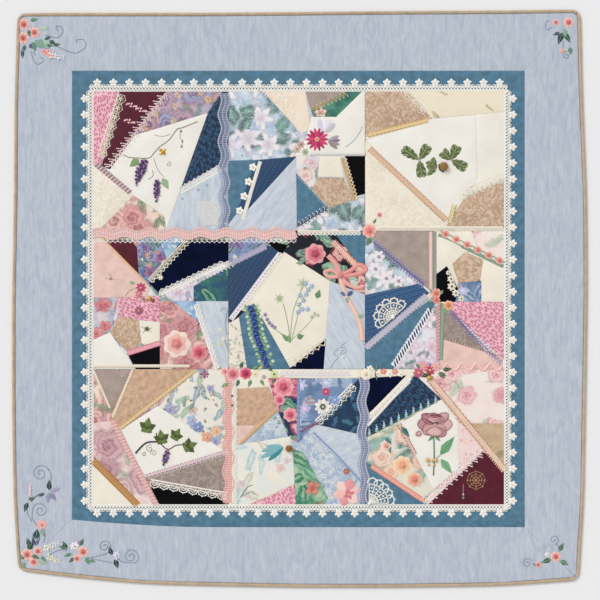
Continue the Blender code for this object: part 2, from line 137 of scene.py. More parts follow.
def cloth_tops(xs, ys):
    """Height of the quilt's face over the floor, as its solids have it."""
    xs, ys = np.asarray(xs), np.asarray(ys)
    tops = np.full(xs.shape, SEAM_THICKNESS)
    for row, column in BLOCKS:
        (low_x, low_y, _), (high_x, high_y, top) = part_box(f"block_{row}_{column}")
        across = 1 - ((2 * xs - low_x - high_x) / (high_x - low_x)) ** 2
        along = 1 - ((2 * ys - low_y - high_y) / (high_y - low_y)) ** 2
        tops += (top - SEAM_THICKNESS) * np.clip(across, 0, 1) * np.clip(along, 0, 1)
    for x, y, spread, rise in np.array(PUCKERS) * MM:
        tops += rise * np.exp(-((xs - x) ** 2 + (ys - y) ** 2) / spread**2)
    return tops


def new_material(name):
    material = bpy.data.materials.new(name)
    material.use_nodes = True
    return material, material.node_tree.nodes["Principled BSDF"]


def weave_place(material):
    """Where a point lies on its cloth, in metres along the weft and the warp."""
    return add_node(material, "UVMap", uv_map="weave").outputs["UV"]


def thread_relief(material, place, thread, rise=0.0001, strength=0.5):
    """Bump of crossing threads this far apart. Threads are 0.3 mm apart in fine cloth and are drawn coarser
    to show."""
    scale = {"Vector": place, "Scale": WAVE_PERIOD / thread}
    lines = []
    for direction in ("X", "Y"):
        lines.append(add_node(material, "TexWave", scale, bands_direction=direction).outputs["Fac"])
    basket = add_node(material, "Math", {0: lines[0], 1: lines[1]}, operation="ADD").outputs[0]
    bump = {"Height": basket, "Distance": rise, "Strength": strength}
    return add_node(material, "Bump", bump).outputs["Normal"]


def uneven_tone(material, place, tone, depth=0.10, size=0.03):
    """A dyed colour that is a little lighter and darker from place to place."""
    clouds = {"Vector": place, "Scale": 1 / size, "Detail": 4.0}
    cloud = add_node(material, "TexNoise", clouds).outputs["Fac"]
    red, green, blue, _ = colour(tone)
    stops = []
    for spot, share in ((0.3, 1 - depth), (0.7, 1 + depth)):
        stops.append((spot, (min(1, red * share), min(1, green * share), min(1, blue * share), 1.0)))
    return add_node(material, "ValToRGB", {"Fac": cloud}, stops=stops).outputs["Color"]


def finish_cloth(material, shader, tone, normal, roughness, sheen):
    """Gives a cloth its colour, relief and surface."""
    links = material.node_tree.links
    links.new(tone, shader.inputs["Base Color"])
    links.new(normal, shader.inputs["Normal"])
    shader.inputs["Roughness"].default_value = roughness
    shader.inputs["Sheen Weight"].default_value = sheen
    shader.inputs["Specular IOR Level"].default_value = 0.3
    return material


def plain_cloth(name, tone, thread=1.0, roughness=0.8, sheen=0.15, depth=0.10, size=0.03):
    """One-colour woven cloth."""
    material, shader = new_material(name)
    place = weave_place(material)
    normal = thread_relief(material, place, thread * MM)
    dyed = uneven_tone(material, place, tone, depth, size)
    return finish_cloth(material, shader, dyed, normal, roughness, sheen)


def muslin():
    """Unbleached cotton muslin: matt, with slubs. It reads Object coordinates, because the CAD block has no
    UV map."""
    material, shader = new_material("unbleached_cotton_muslin")
    place = add_node(material, "TexCoord").outputs["Object"]
    normal = thread_relief(material, place, FINE_THREAD)
    dyed = uneven_tone(material, place, "#E6DAC5")
    return finish_cloth(material, shader, dyed, normal, roughness=0.9, sheen=0.1)


foundation = muslin()
for row, column in BLOCKS:
    for material_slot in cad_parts[f"block_{row}_{column}"].material_slots:
        material_slot.material = foundation

# Patches: odd scraps of printed cotton, silk, brocade and velvet, each turned under and sewn over its
# neighbours, so that it stands a little proud and dips at its seams. Each scrap lies with its grain at its
# own angle.
PATCH_LIFT = 0.45 * MM  # of a patch's face over the foundation at its seams
PATCH_PUFF = 0.75 * MM
PATCH_REACH = 4.0 * MM  # how far from a seam a patch takes to rise
PATCH_RIM = 1.1 * MM
PATCH_STEP = 7.0 * MM
PATCH_THICKNESS = 0.35 * MM
SMALLEST_PATCH = 12e-6  # square metres


def slice_along(bm, point, normal, drop=False):
    """Cuts faces along a line, and drops what lies beyond it if asked."""
    geometry = bm.verts[:] + bm.edges[:] + bm.faces[:]
    cut = {"plane_co": (*point, 0.0), "plane_no": (*normal, 0.0), "dist": 1e-7}
    bmesh.ops.bisect_plane(bm, geom=geometry, clear_outer=drop, **cut)


def is_inside(outline, x, y):
    within = False
    for (x0, y0), (x1, y1) in zip(outline, outline[1:] + outline[:1]):
        if (y0 > y) != (y1 > y) and x < (x1 - x0) * (y - y0) / (y1 - y0) + x0:
            within = not within
    return within


def cut_patch(outline, covers, low, high):
    """What shows of a patch: the part in its block and not under the patches sewn over it."""
    bm = bmesh.new()
    bm.faces.new([bm.verts.new((x, y, 0.0)) for x, y in outline])
    for point, normal in ((low, (-1, 0)), (low, (0, -1)), (high, (1, 0)), (high, (0, 1))):
        slice_along(bm, point, normal, drop=True)
    for cover in covers:
        near = all(
            min(p[axis] for p in outline) < max(p[axis] for p in cover)
            and min(p[axis] for p in cover) < max(p[axis] for p in outline)
            for axis in (0, 1)
        )
        if not near:
            continue
        for (x0, y0), (x1, y1) in zip(cover, cover[1:] + cover[:1]):
            slice_along(bm, (x0, y0), (y1 - y0, x0 - x1))
        hidden = [face for face in bm.faces if is_inside(cover, *face.calc_center_median()[:2])]
        bmesh.ops.delete(bm, geom=hidden, context="FACES")
    slight = [face for face in bm.faces if face.calc_area() < SMALLEST_PATCH / 40]
    bmesh.ops.delete(bm, geom=slight, context="FACES")
    bmesh.ops.dissolve_limit(bm, angle_limit=0.01, verts=bm.verts, edges=bm.edges)
    slight = [face for face in bm.faces if face.calc_area() < SMALLEST_PATCH]
    bmesh.ops.delete(bm, geom=slight, context="FACES")
    return bm


def puff_up(bm, rim, step, lift, puff, reach):
    """Gives a flat outline a fine grid and a face that follows the quilt and dips at its seams."""
    if not bm.faces:
        return
    for face in bm.faces:
        if face.normal.z < 0:
            face.normal_flip()
    bmesh.ops.inset_region(bm, faces=bm.faces[:], thickness=rim, use_boundary=True, use_even_offset=False)
    places = np.array([vertex.co[:2] for vertex in bm.verts])
    for axis in (0, 1):
        first = math.floor(places[:, axis].min() / step) + 1
        for line in range(first, math.ceil(places[:, axis].max() / step)):
            point, normal = ((line * step, 0.0), (1, 0)) if axis == 0 else ((0.0, line * step), (0, 1))
            slice_along(bm, point, normal)
    places = np.array([vertex.co[:2] for vertex in bm.verts])
    edges = [[corner.co[:2] for corner in edge.verts] for edge in bm.edges if edge.is_boundary]
    starts, ends = np.array([e[0] for e in edges]), np.array([e[1] for e in edges])
    runs = ends - starts
    share = ((places[:, None] - starts) * runs).sum(2) / np.maximum((runs**2).sum(1), 1e-14)
    nearest = starts + runs * np.clip(share, 0, 1)[:, :, None]
    away = np.sqrt(((places[:, None] - nearest) ** 2).sum(2)).min(1)
    tops = cloth_tops(places[:, 0], places[:, 1]) + lift + puff * (1 - np.exp(-away / reach))
    for vertex, top in zip(bm.verts, tops):
        vertex.co.z = top


def lay_grain(bm, degrees):
    """Maps the cloth in metres, with its weft at this angle."""
    layer = bm.loops.layers.uv.new("weave")
    cos, sin = math.cos(math.radians(degrees)), math.sin(math.radians(degrees))
    for face in bm.faces:
        for loop in face.loops:
            x, y = loop.vert.co[:2]
            loop[layer].uv = (x * cos + y * sin, y * cos - x * sin)


def join_sheet(name, sheets, thickness):
    """One mesh from several cut cloths, each in its own material, with the cloth's thickness."""
    whole, materials = bmesh.new(), []
    whole.loops.layers.uv.new("weave")
    for bm, material in sheets:
        if material not in materials:
            materials.append(material)
        for face in bm.faces:
            face.material_index = materials.index(material)
            face.smooth = True
        part = bpy.data.meshes.new("part")
        bm.to_mesh(part)
        bm.free()
        whole.from_mesh(part)
        bpy.data.meshes.remove(part)
    mesh = bpy.data.meshes.new(name)
    whole.to_mesh(mesh)
    whole.free()
    for material in materials:
        mesh.materials.append(material)
    piece = add_object(name, mesh)
    solidify = piece.modifiers.new("thickness", "SOLIDIFY")
    solidify.thickness = thickness
    solidify.offset = -1.0
    return piece


def piece_block(row, column, *patches):
    """Lays a block's patches on its foundation, later rows over earlier ones. A row is a cloth, the angle of
    its grain in degrees and its corners in mm."""
    node = f"block_{row}_{column}"
    low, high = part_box(node)
    outlines = [[(x * MM, y * MM) for x, y in outline] for _, _, *outline in patches]
    sheets, area = [], 0.0
    for index, (cloth, grain, *_) in enumerate(patches):
        bm = cut_patch(outlines[index], outlines[index + 1 :], low[:2], high[:2])
        area += sum(face.calc_area() for face in bm.faces)
        puff_up(bm, PATCH_RIM, PATCH_STEP, PATCH_LIFT, PATCH_PUFF, PATCH_REACH)
        lay_grain(bm, grain)
        sheets.append((bm, cloth))
    piece = join_sheet(f"patches_{row}_{column}", sheets, PATCH_THICKNESS)
    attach(piece, "root")
    return piece


def scatter(material, place, spacing, reach, petals=0, depth=0.0, stretch=1.0, share=1.0, shift=0.0):
    """Motifs strewn about this far apart: their mask, the shadow round them, how far out in its motif a
    point lies, the folds of its petals or the rib of its leaf, and a random number for each motif."""
    offset = {0: place, 1: (shift, shift * 0.7, 0.0)}
    moved = add_node(material, "VectorMath", offset, operation="ADD").outputs[0]
    cell = {"Vector": moved, "Scale": 1 / spacing, "Randomness": 0.9}
    cells = add_node(material, "TexVoronoi", cell, voronoi_dimensions="2D").outputs
    chance = add_node(material, "SeparateColor", {0: cells["Color"]}).outputs
    off_middle = {0: moved, 1: cells["Position"]}
    local = add_node(material, "VectorMath", off_middle, operation="SUBTRACT").outputs[0]
    turn = add_node(material, "Math", {0: chance[0], 1: 2 * math.pi}, operation="MULTIPLY").outputs[0]
    spin = {"Vector": local, "Angle": turn}
    turned = add_node(material, "VectorRotate", spin, rotation_type="Z_AXIS").outputs[0]
    squeeze = {0: turned, 1: (1 / stretch, stretch, 0.0)}
    shape = add_node(material, "VectorMath", squeeze, operation="MULTIPLY").outputs[0]
    out = add_node(material, "VectorMath", {0: shape}, operation="LENGTH").outputs["Value"]
    sizes = {"Value": chance[1], "To Min": reach * 0.7, "To Max": reach}
    size = add_node(material, "MapRange", sizes).outputs[0]
    parts = add_node(material, "SeparateXYZ", {0: shape}).outputs
    if petals:
        angle = add_node(material, "Math", {0: parts[1], 1: parts[0]}, operation="ARCTAN2").outputs[0]
        times = {0: angle, 1: float(petals)}
        round_about = add_node(material, "Math", times, operation="MULTIPLY").outputs[0]
        lobes = add_node(material, "Math", {0: round_about}, operation="COSINE").outputs[0]
        lobed = {0: lobes, 1: depth, 2: 1.0 - depth}
        swell = add_node(material, "Math", lobed, operation="MULTIPLY_ADD").outputs[0]
        size = add_node(material, "Math", {0: size, 1: swell}, operation="MULTIPLY").outputs[0]
    far = add_node(material, "Math", {0: out, 1: size}, operation="DIVIDE").outputs[0]
    if petals:
        spin = add_node(material, "Math", {0: far, 1: 15.0, 2: angle}, operation="MULTIPLY_ADD").outputs[0]
        coil = add_node(material, "Math", {0: spin}, operation="SINE").outputs[0]
        gaps = add_node(material, "Math", {0: lobes, 1: -0.9, 2: 0.1}, operation="MULTIPLY_ADD").outputs[0]
        folds = gaps if depth > 0.14 else coil
    else:
        aside = add_node(material, "Math", {0: parts[1]}, operation="ABSOLUTE").outputs[0]
        rib = {"Value": aside, "From Min": reach * 0.2, "From Max": 0.0, "To Min": -0.6, "To Max": 1.0}
        folds = add_node(material, "MapRange", rib).outputs[0]
    mask = add_node(material, "MapRange", {"Value": far, "From Min": 1.0, "From Max": 0.84}).outputs[0]
    around = {"Value": far, "From Min": 1.35, "From Max": 0.95, "To Max": 0.8}
    shadow = add_node(material, "MapRange", around).outputs[0]
    if share < 1:
        shown = add_node(material, "Math", {0: chance[2], 1: share}, operation="LESS_THAN").outputs[0]
        mask = add_node(material, "Math", {0: mask, 1: shown}, operation="MULTIPLY").outputs[0]
        shadow = add_node(material, "Math", {0: shadow, 1: shown}, operation="MULTIPLY").outputs[0]
    return mask, shadow, far, folds, chance[0]


def blend_tones(material, share, under, over):
    """Lays one colour over another where a mask says."""
    node = add_node(material, "Mix", {0: share}, data_type="RGBA")
    for socket, tone in ((node.inputs[6], under), (node.inputs[7], over)):
        if isinstance(tone, bpy.types.NodeSocket):
            material.node_tree.links.new(tone, socket)
        else:
            socket.default_value = colour(tone)
    return node.outputs[2]


def printed_cloth(name, ground, wash, *motifs, thread=0.9, roughness=0.75, sheen=0.1):
    """Cotton printed with a soft wash of two tones and strewn leaves and flowers. Each kind of motif has a
    short list of colours, a colour of its middle, and petals shaded in folds."""
    material, shader = new_material(name)
    place = weave_place(material)
    ragged = {"Vector": place, "Scale": 110.0, "Detail": 5.0}
    wobble = add_node(material, "TexNoise", ragged).outputs["Color"]
    slight = {0: wobble, 1: (0.011, 0.011, 0.0)}
    drift = add_node(material, "VectorMath", slight, operation="MULTIPLY").outputs[0]
    drawn = add_node(material, "VectorMath", {0: place, 1: drift}, operation="ADD").outputs[0]
    pool = add_node(material, "TexNoise", {"Vector": place, "Scale": 55.0, "Detail": 4.0}).outputs["Fac"]
    pooled = add_node(material, "MapRange", {"Value": pool, "From Min": 0.42, "From Max": 0.62}).outputs[0]
    tone = blend_tones(material, pooled, ground, wash)
    for index, (spacing, reach, petals, depth, stretch, share, tones, middle) in enumerate(motifs):
        mask, shadow, far, folds, pick = scatter(
            material, drawn, spacing * MM, reach * MM, petals, depth, stretch, share, 0.37 * (index + 1)
        )
        stops = [(spot / len(tones), colour(text)) for spot, text in enumerate(tones)]
        if len(stops) == 1:
            stops.append((1.0, stops[0][1]))
        ramp = add_node(material, "ValToRGB", {"Fac": pick}, stops=stops)
        ramp.color_ramp.interpolation = "CONSTANT"
        heart = {"Value": far, "From Min": 0.85, "From Max": 0.05}
        inward = add_node(material, "MapRange", heart).outputs[0]
        folded = {0: folds, 1: 0.36, 2: inward}
        shade = add_node(material, "Math", folded, operation="MULTIPLY_ADD", use_clamp=True)
        petal = blend_tones(material, shade.outputs[0], ramp.outputs["Color"], middle)
        rim = {"Value": far, "From Min": 0.72, "From Max": 1.0, "To Max": 0.2}
        petal = blend_tones(material, add_node(material, "MapRange", rim).outputs[0], petal, "#F4EEE8")
        tone = blend_tones(material, shadow, tone, middle)
        tone = blend_tones(material, mask, tone, petal)
    pale = sum(colour(ground)[:3]) > 1.0
    dark_strokes = ((230.0, ground, 0.3),)
    pale_strokes = ((210.0, wash, 0.55), (290.0, ground, 0.45), (170.0, "#F6F0EA", 0.3))
    for scale, stroke_tone, strength in pale_strokes if pale else dark_strokes:
        brush = {"Vector": place, "Scale": scale, "Detail": 2.0, "Distortion": 5.0}
        marks = add_node(material, "TexNoise", brush).outputs["Fac"]
        limits = {"Value": marks, "From Min": 0.52, "From Max": 0.68, "To Max": strength}
        tone = blend_tones(material, add_node(material, "MapRange", limits).outputs[0], tone, stroke_tone)
    normal = thread_relief(material, place, thread * MM)
    return finish_cloth(material, shader, tone, normal, roughness, sheen)


def figured_cloth(name, ground, figure, size, rise=0.00025, roughness=0.5, sheen=0.2):
    """Damask or brocade: scrolling figures woven up from a ground of the same family of colours."""
    material, shader = new_material(name)
    place = weave_place(material)
    scroll = {"Vector": place, "Scale": 1 / (size * MM), "Detail": 2.0, "Distortion": 2.2}
    figures = add_node(material, "TexNoise", scroll).outputs["Fac"]
    shape = add_node(material, "MapRange", {"Value": figures, "From Min": 0.44, "From Max": 0.60}).outputs[0]
    tone = blend_tones(material, shape, uneven_tone(material, place, ground, 0.08), figure)
    rib = {"Vector": place, "Scale": WAVE_PERIOD / FINE_THREAD}
    fine = add_node(material, "TexWave", rib).outputs["Fac"]
    height = add_node(material, "Math", {0: fine, 1: 0.25, 2: shape}, operation="MULTIPLY_ADD").outputs[0]
    bump = {"Height": height, "Distance": rise, "Strength": 0.6}
    normal = add_node(material, "Bump", bump).outputs["Normal"]
    return finish_cloth(material, shader, tone, normal, roughness, sheen)


def dashed_jacquard(name, ground, dash, width, length):
    """Jacquard with short upright dashes woven close together in a darker colour."""
    material, shader = new_material(name)
    place = weave_place(material)
    squeezed = {0: place, 1: (1.0, width / length, 0.0)}
    drawn = add_node(material, "VectorMath", squeezed, operation="MULTIPLY").outputs[0]
    cell = {"Vector": drawn, "Scale": 1 / (width * MM), "Randomness": 0.7}
    cells = add_node(material, "TexVoronoi", cell, voronoi_dimensions="2D").outputs["Distance"]
    shape = add_node(material, "MapRange", {"Value": cells, "From Min": 0.50, "From Max": 0.24}).outputs[0]
    tone = blend_tones(material, shape, uneven_tone(material, place, ground, 0.1), dash)
    bump = {"Height": shape, "Distance": 0.0003, "Strength": 0.6}
    normal = add_node(material, "Bump", bump).outputs["Normal"]
    return finish_cloth(material, shader, tone, normal, roughness=0.5, sheen=0.2)


def velvet(name, tone):
    """Cut-pile velvet: nearly black, with a pile that catches light at a slant and lies in soft patches."""
    material, shader = new_material(name)
    place = weave_place(material)
    pile = add_node(material, "TexNoise", {"Vector": place, "Scale": 900.0, "Detail": 3.0}).outputs["Fac"]
    bump = {"Height": pile, "Distance": 0.0004, "Strength": 0.7}
    normal = add_node(material, "Bump", bump).outputs["Normal"]
    dyed = uneven_tone(material, place, tone, 0.35, 0.02)
    finish_cloth(material, shader, dyed, normal, roughness=0.95, sheen=0.1)
    shader.inputs["Sheen Roughness"].default_value = 0.35
    shader.inputs["Sheen Tint"].default_value = colour(tone)
    shader.inputs["Specular IOR Level"].default_value = 0.1
    return material


def scale_weave(name, ground, scale_tone, line_tone, width, height):
    """Silk woven in a net of pointed scales, two lines waving against each other across a dark ground."""
    material, shader = new_material(name)
    place = weave_place(material)
    parts = add_node(material, "SeparateXYZ", {0: place}).outputs
    turns = {0: parts[0], 1: 2 * math.pi / width}
    along = add_node(material, "Math", turns, operation="MULTIPLY").outputs[0]
    swing = add_node(material, "Math", {0: along}, operation="SINE").outputs[0]
    rows = add_node(material, "Math", {0: parts[1], 1: 1 / height}, operation="MULTIPLY").outputs[0]
    lines = []
    for sign in (0.25, -0.25):
        wave = add_node(material, "Math", {0: swing, 1: sign, 2: rows}, operation="MULTIPLY_ADD").outputs[0]
        lines.append(add_node(material, "Math", {0: wave, 1: 0.5}, operation="PINGPONG").outputs[0])
    nearest = add_node(material, "Math", {0: lines[0], 1: lines[1]}, operation="MINIMUM").outputs[0]
    line = add_node(material, "MapRange", {"Value": nearest, "From Min": 0.10, "From Max": 0.03}).outputs[0]
    body = add_node(material, "Math", {0: lines[0], 1: lines[1]}, operation="MULTIPLY").outputs[0]
    lens = add_node(material, "MapRange", {"Value": body, "From Min": 0.02, "From Max": 0.12}).outputs[0]
    tone = blend_tones(material, lens, uneven_tone(material, place, ground, 0.15), scale_tone)
    tone = blend_tones(material, line, tone, line_tone)
    height_map = add_node(material, "Math", {0: line, 1: 0.5, 2: lens}, operation="MULTIPLY_ADD").outputs[0]
    bump = {"Height": height_map, "Distance": 0.0003, "Strength": 0.5}
    normal = add_node(material, "Bump", bump).outputs["Normal"]
    return finish_cloth(material, shader, tone, normal, roughness=0.5, sheen=0.2)


SILK_RIB = 1.1 * MM


def watered_silk(name, dark, light):
    """Ribbed silk pressed so that its ribs shine in long wavering water marks, which run along the warp."""
    material, shader = new_material(name)
    place = weave_place(material)
    tones = []
    for stretch, scale, twist in (((1.0, 0.13, 0.0), 260.0, 0.6), ((1.0, 0.4, 0.0), 70.0, 1.8)):
        drawn = add_node(material, "VectorMath", {0: place, 1: stretch}, operation="MULTIPLY").outputs[0]
        marks = {"Vector": drawn, "Scale": scale, "Detail": 4.0, "Distortion": twist}
        tones.append(add_node(material, "TexNoise", marks).outputs["Fac"])
    both = add_node(material, "Math", {0: tones[0], 1: tones[1]}, operation="ADD").outputs[0]
    half = add_node(material, "Math", {0: both, 1: 0.5}, operation="MULTIPLY").outputs[0]
    stops = [(0.36, colour(dark)), (0.64, colour(light))]
    tone = add_node(material, "ValToRGB", {"Fac": half}, stops=stops).outputs["Color"]
    ribs = {"Vector": place, "Scale": WAVE_PERIOD / SILK_RIB}
    rib = add_node(material, "TexWave", ribs, bands_direction="Y")
    relief = {"Height": rib.outputs["Fac"], "Distance": 0.0001, "Strength": 0.35}
    normal = add_node(material, "Bump", relief).outputs["Normal"]
    return finish_cloth(material, shader, tone, normal, roughness=0.48, sheen=0.2)


# The cloths that carry no print. Silks have a low broad shine, polished cotton and satin a closer one, linen
# and cotton are matt and uneven, velvet is nearly black, and jacquards and brocades show figures that catch
# light. A plain cloth gives its thread spacing in mm, roughness, sheen, and how much and how far apart its
# dye varies.
pale_watered_silk = watered_silk("pale_blue_watered_silk", "#AEB7C6", "#C4CBD6")
silver_blue_silk = watered_silk("silver_blue_silk", "#B9C2CE", "#D3DAE2")
teal_cotton = plain_cloth("teal_polished_cotton", "#4F7890", 0.9, 0.6, 0.2, 0.22, 0.01)
cream_silk = plain_cloth("cream_dupion_silk", "#F1E9D8", 1.1, 0.5, 0.2, 0.05)
ivory_silk = plain_cloth("ivory_dupion_silk", "#F1EDE4", 1.1, 0.5, 0.2, 0.04)
light_pink = plain_cloth("light_pink_silk", "#E8C5BA", 1.0, 0.5, 0.2, 0.10, 0.015)
taupe_silk = plain_cloth("taupe_silk", "#A8978E", 0.9, 0.45, 0.3, 0.14, 0.015)
tan_linen = plain_cloth("tan_linen", "#CBA88B", 1.4, 0.6, 0.15, 0.22, 0.007)
burgundy = plain_cloth("burgundy_satin", "#540A22", 0.8, 0.5, 0.0, 0.25, 0.015)
striped_cream = plain_cloth("self_striped_cream_cotton", "#F0EADD", 1.6, 0.6, 0.15, 0.05)
black_velvet = velvet("black_velvet", "#0B0A0D")
navy_velvet = velvet("navy_velvet", "#060E2C")
pink_jacquard = dashed_jacquard("pink_jacquard", "#F0BCC6", "#CC7690", 3.2, 6.6)
cream_damask = figured_cloth("cream_damask", "#EBE0CC", "#F4EDDF", 11.0)
cream_brocade = figured_cloth("cream_brocade", "#EBE0CA", "#F4ECDC", 10.0)
tan_brocade = figured_cloth("tan_brocade", "#BA9A7E", "#D8BEA6", 10.0)
taupe_brocade = figured_cloth("taupe_brocade", "#94837A", "#AC9C92", 14.0)
navy_scale = scale_weave("navy_scale_weave", "#12233C", "#23436A", "#3F638C", 0.012, 0.0068)
navy_dashes = dashed_jacquard("navy_dashed_silk", "#0E223C", "#285274", 3.0, 8.0)
peach_brocade = figured_cloth("peach_cream_brocade", "#EFDCC6", "#F4E9D8", 9.0)
blue_scale = scale_weave("blue_scale_weave", "#1A3860", "#2C5684", "#5278A2", 0.014, 0.0075)
# Printed cottons: motif rows give spacing and reach (mm), petals, petal depth, stretch, share shown,
# colours, middle. They are generic roses, lilies and leaves in the photo's colours and sizes, strewn in a
# layout of their own.
rose_print = printed_cloth(
    "rose_printed_cotton", "#F3E2D0", "#F0CDBF",
    (22, 10, 0, 0, 1.7, 0.7, ("#7E9A70", "#A9BA90", "#6F8E76"), "#4F6F4C"),
    (42, 25, 5, 0.08, 1.0, 0.9, ("#E59C98", "#F0BDB0", "#CF7E88"), "#9C4458"),
    (17, 5, 5, 0.15, 1.0, 0.4, ("#C990A4", "#E3A49C"), "#A85C74"),
)
mauve_rose_print = printed_cloth(
    "mauve_rose_printed_cotton", "#F0E3D8", "#E3BDBC",
    (26, 11, 0, 0, 1.7, 0.5, ("#8C9A86", "#C4BCA8"), "#6F8A7C"),
    (46, 27, 5, 0.08, 1.0, 0.95, ("#D0A0A6", "#E6C4C0", "#BF8494"), "#94506A"),
)
mauve_floral = printed_cloth(
    "mauve_floral_cotton", "#A9A9C6", "#CDAFB9",
    (20, 9, 0, 0, 1.7, 0.6, ("#7E9A96", "#A7A27C", "#6B86A4"), "#5C7C74"),
    (38, 22, 5, 0.08, 1.0, 0.85, ("#C09AAE", "#96A2C6", "#D0A09A"), "#704E70"),
    (18, 6, 5, 0.15, 1.0, 0.4, ("#DDBB8C", "#E6C9B4"), "#B0844C"),
)
lily_print = printed_cloth(
    "lily_printed_cotton", "#B5C8DA", "#DDE6EC",
    (8, 4.4, 4, 0.2, 1.0, 0.8, ("#D3DFEA", "#A9BFD6", "#EEF2F4"), "#8FAACC"),
    (31, 18, 0, 0, 1.35, 0.8, ("#2C6458", "#4A8572", "#1F4A48"), "#7FA898"),
    (40, 24, 6, 0.26, 1.0, 0.75, ("#F6F3EF", "#EFE9EA", "#E6E8F2"), "#CFBCCB"),
)
lake_print = printed_cloth(
    "blue_green_leafy_cotton", "#2C5470", "#3F7E62",
    (26, 14, 0, 0, 1.5, 0.8, ("#4F9474", "#2F5F8C", "#74AE90"), "#1F4A44"),
)
green_floral = printed_cloth(
    "green_floral_cotton", "#2F6A5C", "#5C9482",
    (19, 9, 5, 0.15, 1.0, 0.35, ("#E7C4AB", "#F0E2D0", "#B9CFC0"), "#B9705F"),
)
peach_rose_print = printed_cloth(
    "peach_rose_printed_cotton", "#EDE0CE", "#DDE0D0",
    (34, 19, 0, 0, 1.6, 0.8, ("#3F7C76", "#6FA097", "#2F6460"), "#8FB8AC"),
    (38, 17, 5, 0.08, 1.0, 0.5, ("#F3D6B4", "#F0C4AC", "#F4DCC8"), "#DFA088"),
)
peach_floral = printed_cloth(
    "peach_floral_cotton", "#EFE6DC", "#E3DDE6", (20, 10, 0, 0, 1.6, 0.6, ("#4F8472", "#7FA88F"), "#A9C4B0"),
    (24, 13, 5, 0.12, 1.0, 0.75, ("#F3C9B4", "#F4E4DC", "#DCD9EC"), "#D99A8A"),
)
white_floral = printed_cloth(
    "white_floral_cotton", "#E9E6EA", "#DCD6E2",
    (22, 12, 0, 0, 1.6, 0.7, ("#5F8A80", "#3F6F70", "#6F8CBC"), "#A4BCB0"),
    (30, 18, 6, 0.2, 1.0, 0.85, ("#F6F0EE", "#EFDDE0", "#E2DDEC"), "#CBA0B4"),
)
blue_floral = printed_cloth(
    "blue_floral_cotton", "#8E9CC4", "#4F6A9A",
    (18, 10, 0, 0, 1.6, 0.75, ("#2F5A4C", "#3A6A66", "#24443E"), "#8FB09A"),
    (19, 10, 5, 0.12, 1.0, 0.85, ("#8F6FA8", "#B05A8C", "#A7B0DA"), "#5A2A60"),
    (15, 4, 5, 0.15, 1.0, 0.35, ("#C23F6A", "#E9E4F0"), "#E8C86A"),
)
garden_print = printed_cloth(
    "garden_printed_cotton", "#F0E8D8", "#E6E3DC",
    (19, 9, 0, 0, 2.0, 0.7, ("#7E9CA0", "#9DB49A", "#6F8FB4"), "#B9C9BC"),
    (22, 9, 5, 0.14, 1.0, 0.6, ("#8FA6D6", "#F0BC98", "#B49CC4"), "#7C6A94"),
    (16, 3, 5, 0.15, 1.0, 0.4, ("#8C7A68", "#A08C5C"), "#5C4A3A"),
)
red_blue_floral = printed_cloth(
    "red_blue_floral_cotton", "#B4B4C6", "#E6D9D6",
    (20, 10, 0, 0, 1.6, 0.6, ("#8FA0B8", "#7F94AC"), "#B9C4D0"),
    (24, 13, 5, 0.12, 1.0, 0.85, ("#E0746C", "#E9938A", "#D6606A"), "#B03A4C"),
)
blue_print = printed_cloth(
    "blue_printed_cotton", "#6F98C4", "#A9C6DC",
    (10, 4.4, 5, 0.2, 1.0, 0.7, ("#C9DBE9", "#8FB4CC", "#4F7AAE"), "#E6EEF0"),
)
tiny_floral = printed_cloth(
    "tiny_floral_cotton", "#F0E6D8", "#EDE2D6", (8, 2.4, 0, 0, 1.6, 0.6, ("#9DB08C", "#B8C6A6"), "#7F9A6C"),
    (8, 2.4, 5, 0.2, 1.0, 0.6, ("#C9A9C4", "#E3A9A4", "#8FA3C9"), "#F4E9C8"),
)
dark_floral = printed_cloth(
    "dark_floral_cotton", "#0E121C", "#151A2A",
    (23, 11, 0, 0, 1.6, 0.75, ("#5C8A74", "#8FB49C", "#3A6C64"), "#B4CCB4"),
    (29, 15, 5, 0.09, 1.0, 0.6, ("#E7A4A2", "#DB8790", "#F0CBBC"), "#B4485E"),
)
sprig_cream = printed_cloth(
    "sprigged_cream_cotton", "#F0E5CE", "#EEE1C6",
    (26, 5.5, 0, 0, 2.0, 0.5, ("#BDB58C", "#CDBB90"), "#A39A6C"),
)
hydrangea_print = printed_cloth(
    "hydrangea_printed_cotton", "#A9BACC", "#D6DCDE",
    (20, 7, 0, 0, 1.5, 0.3, ("#5F8A80", "#8FA890"), "#B4C4B0"),
    (7, 4.2, 4, 0.18, 1.0, 0.95, ("#EDEFEC", "#C4D2E0", "#F1EFE8", "#9DB2CC"), "#93A9C6"),
)
peony_print = printed_cloth(
    "peony_printed_cotton", "#1A2440", "#24405C",
    (20, 10, 0, 0, 1.6, 0.7, ("#3F7A6A", "#6F9F86"), "#9DC0A4"),
    (27, 16, 5, 0.08, 1.0, 0.95, ("#EFA9AE", "#E88F9C", "#F3C4BE"), "#C4506C"),
)
leafy_print = printed_cloth(
    "leafy_cream_cotton", "#F0E8D8", "#E2E6E2",
    (27, 12, 0, 0, 2.0, 0.35, ("#B4CCD0", "#D3C0A6", "#A9C2C6"), "#DCE6E2"),
    (24, 7, 5, 0.16, 1.0, 0.3, ("#EBC6BC", "#C9D2DC"), "#D9A4A0"),
)
periwinkle_floral = printed_cloth(
    "periwinkle_watercolour_cotton", "#7890B2", "#5F789E",
    (22, 11, 0, 0, 1.4, 0.6, ("#9CB0C8", "#54709A", "#A88A90"), "#B8C4D2"),
    (24, 9, 7, 0.16, 1.0, 0.45, ("#B4B9E0", "#C9A4D0", "#9CB4DC"), "#E9E0F0"),
)
navy_leaf = printed_cloth(
    "navy_leaf_cotton", "#17304C", "#1F4260", (13, 5.6, 0, 0, 2.2, 0.35, ("#24507A", "#2F6580"), "#4A7C98"),
)
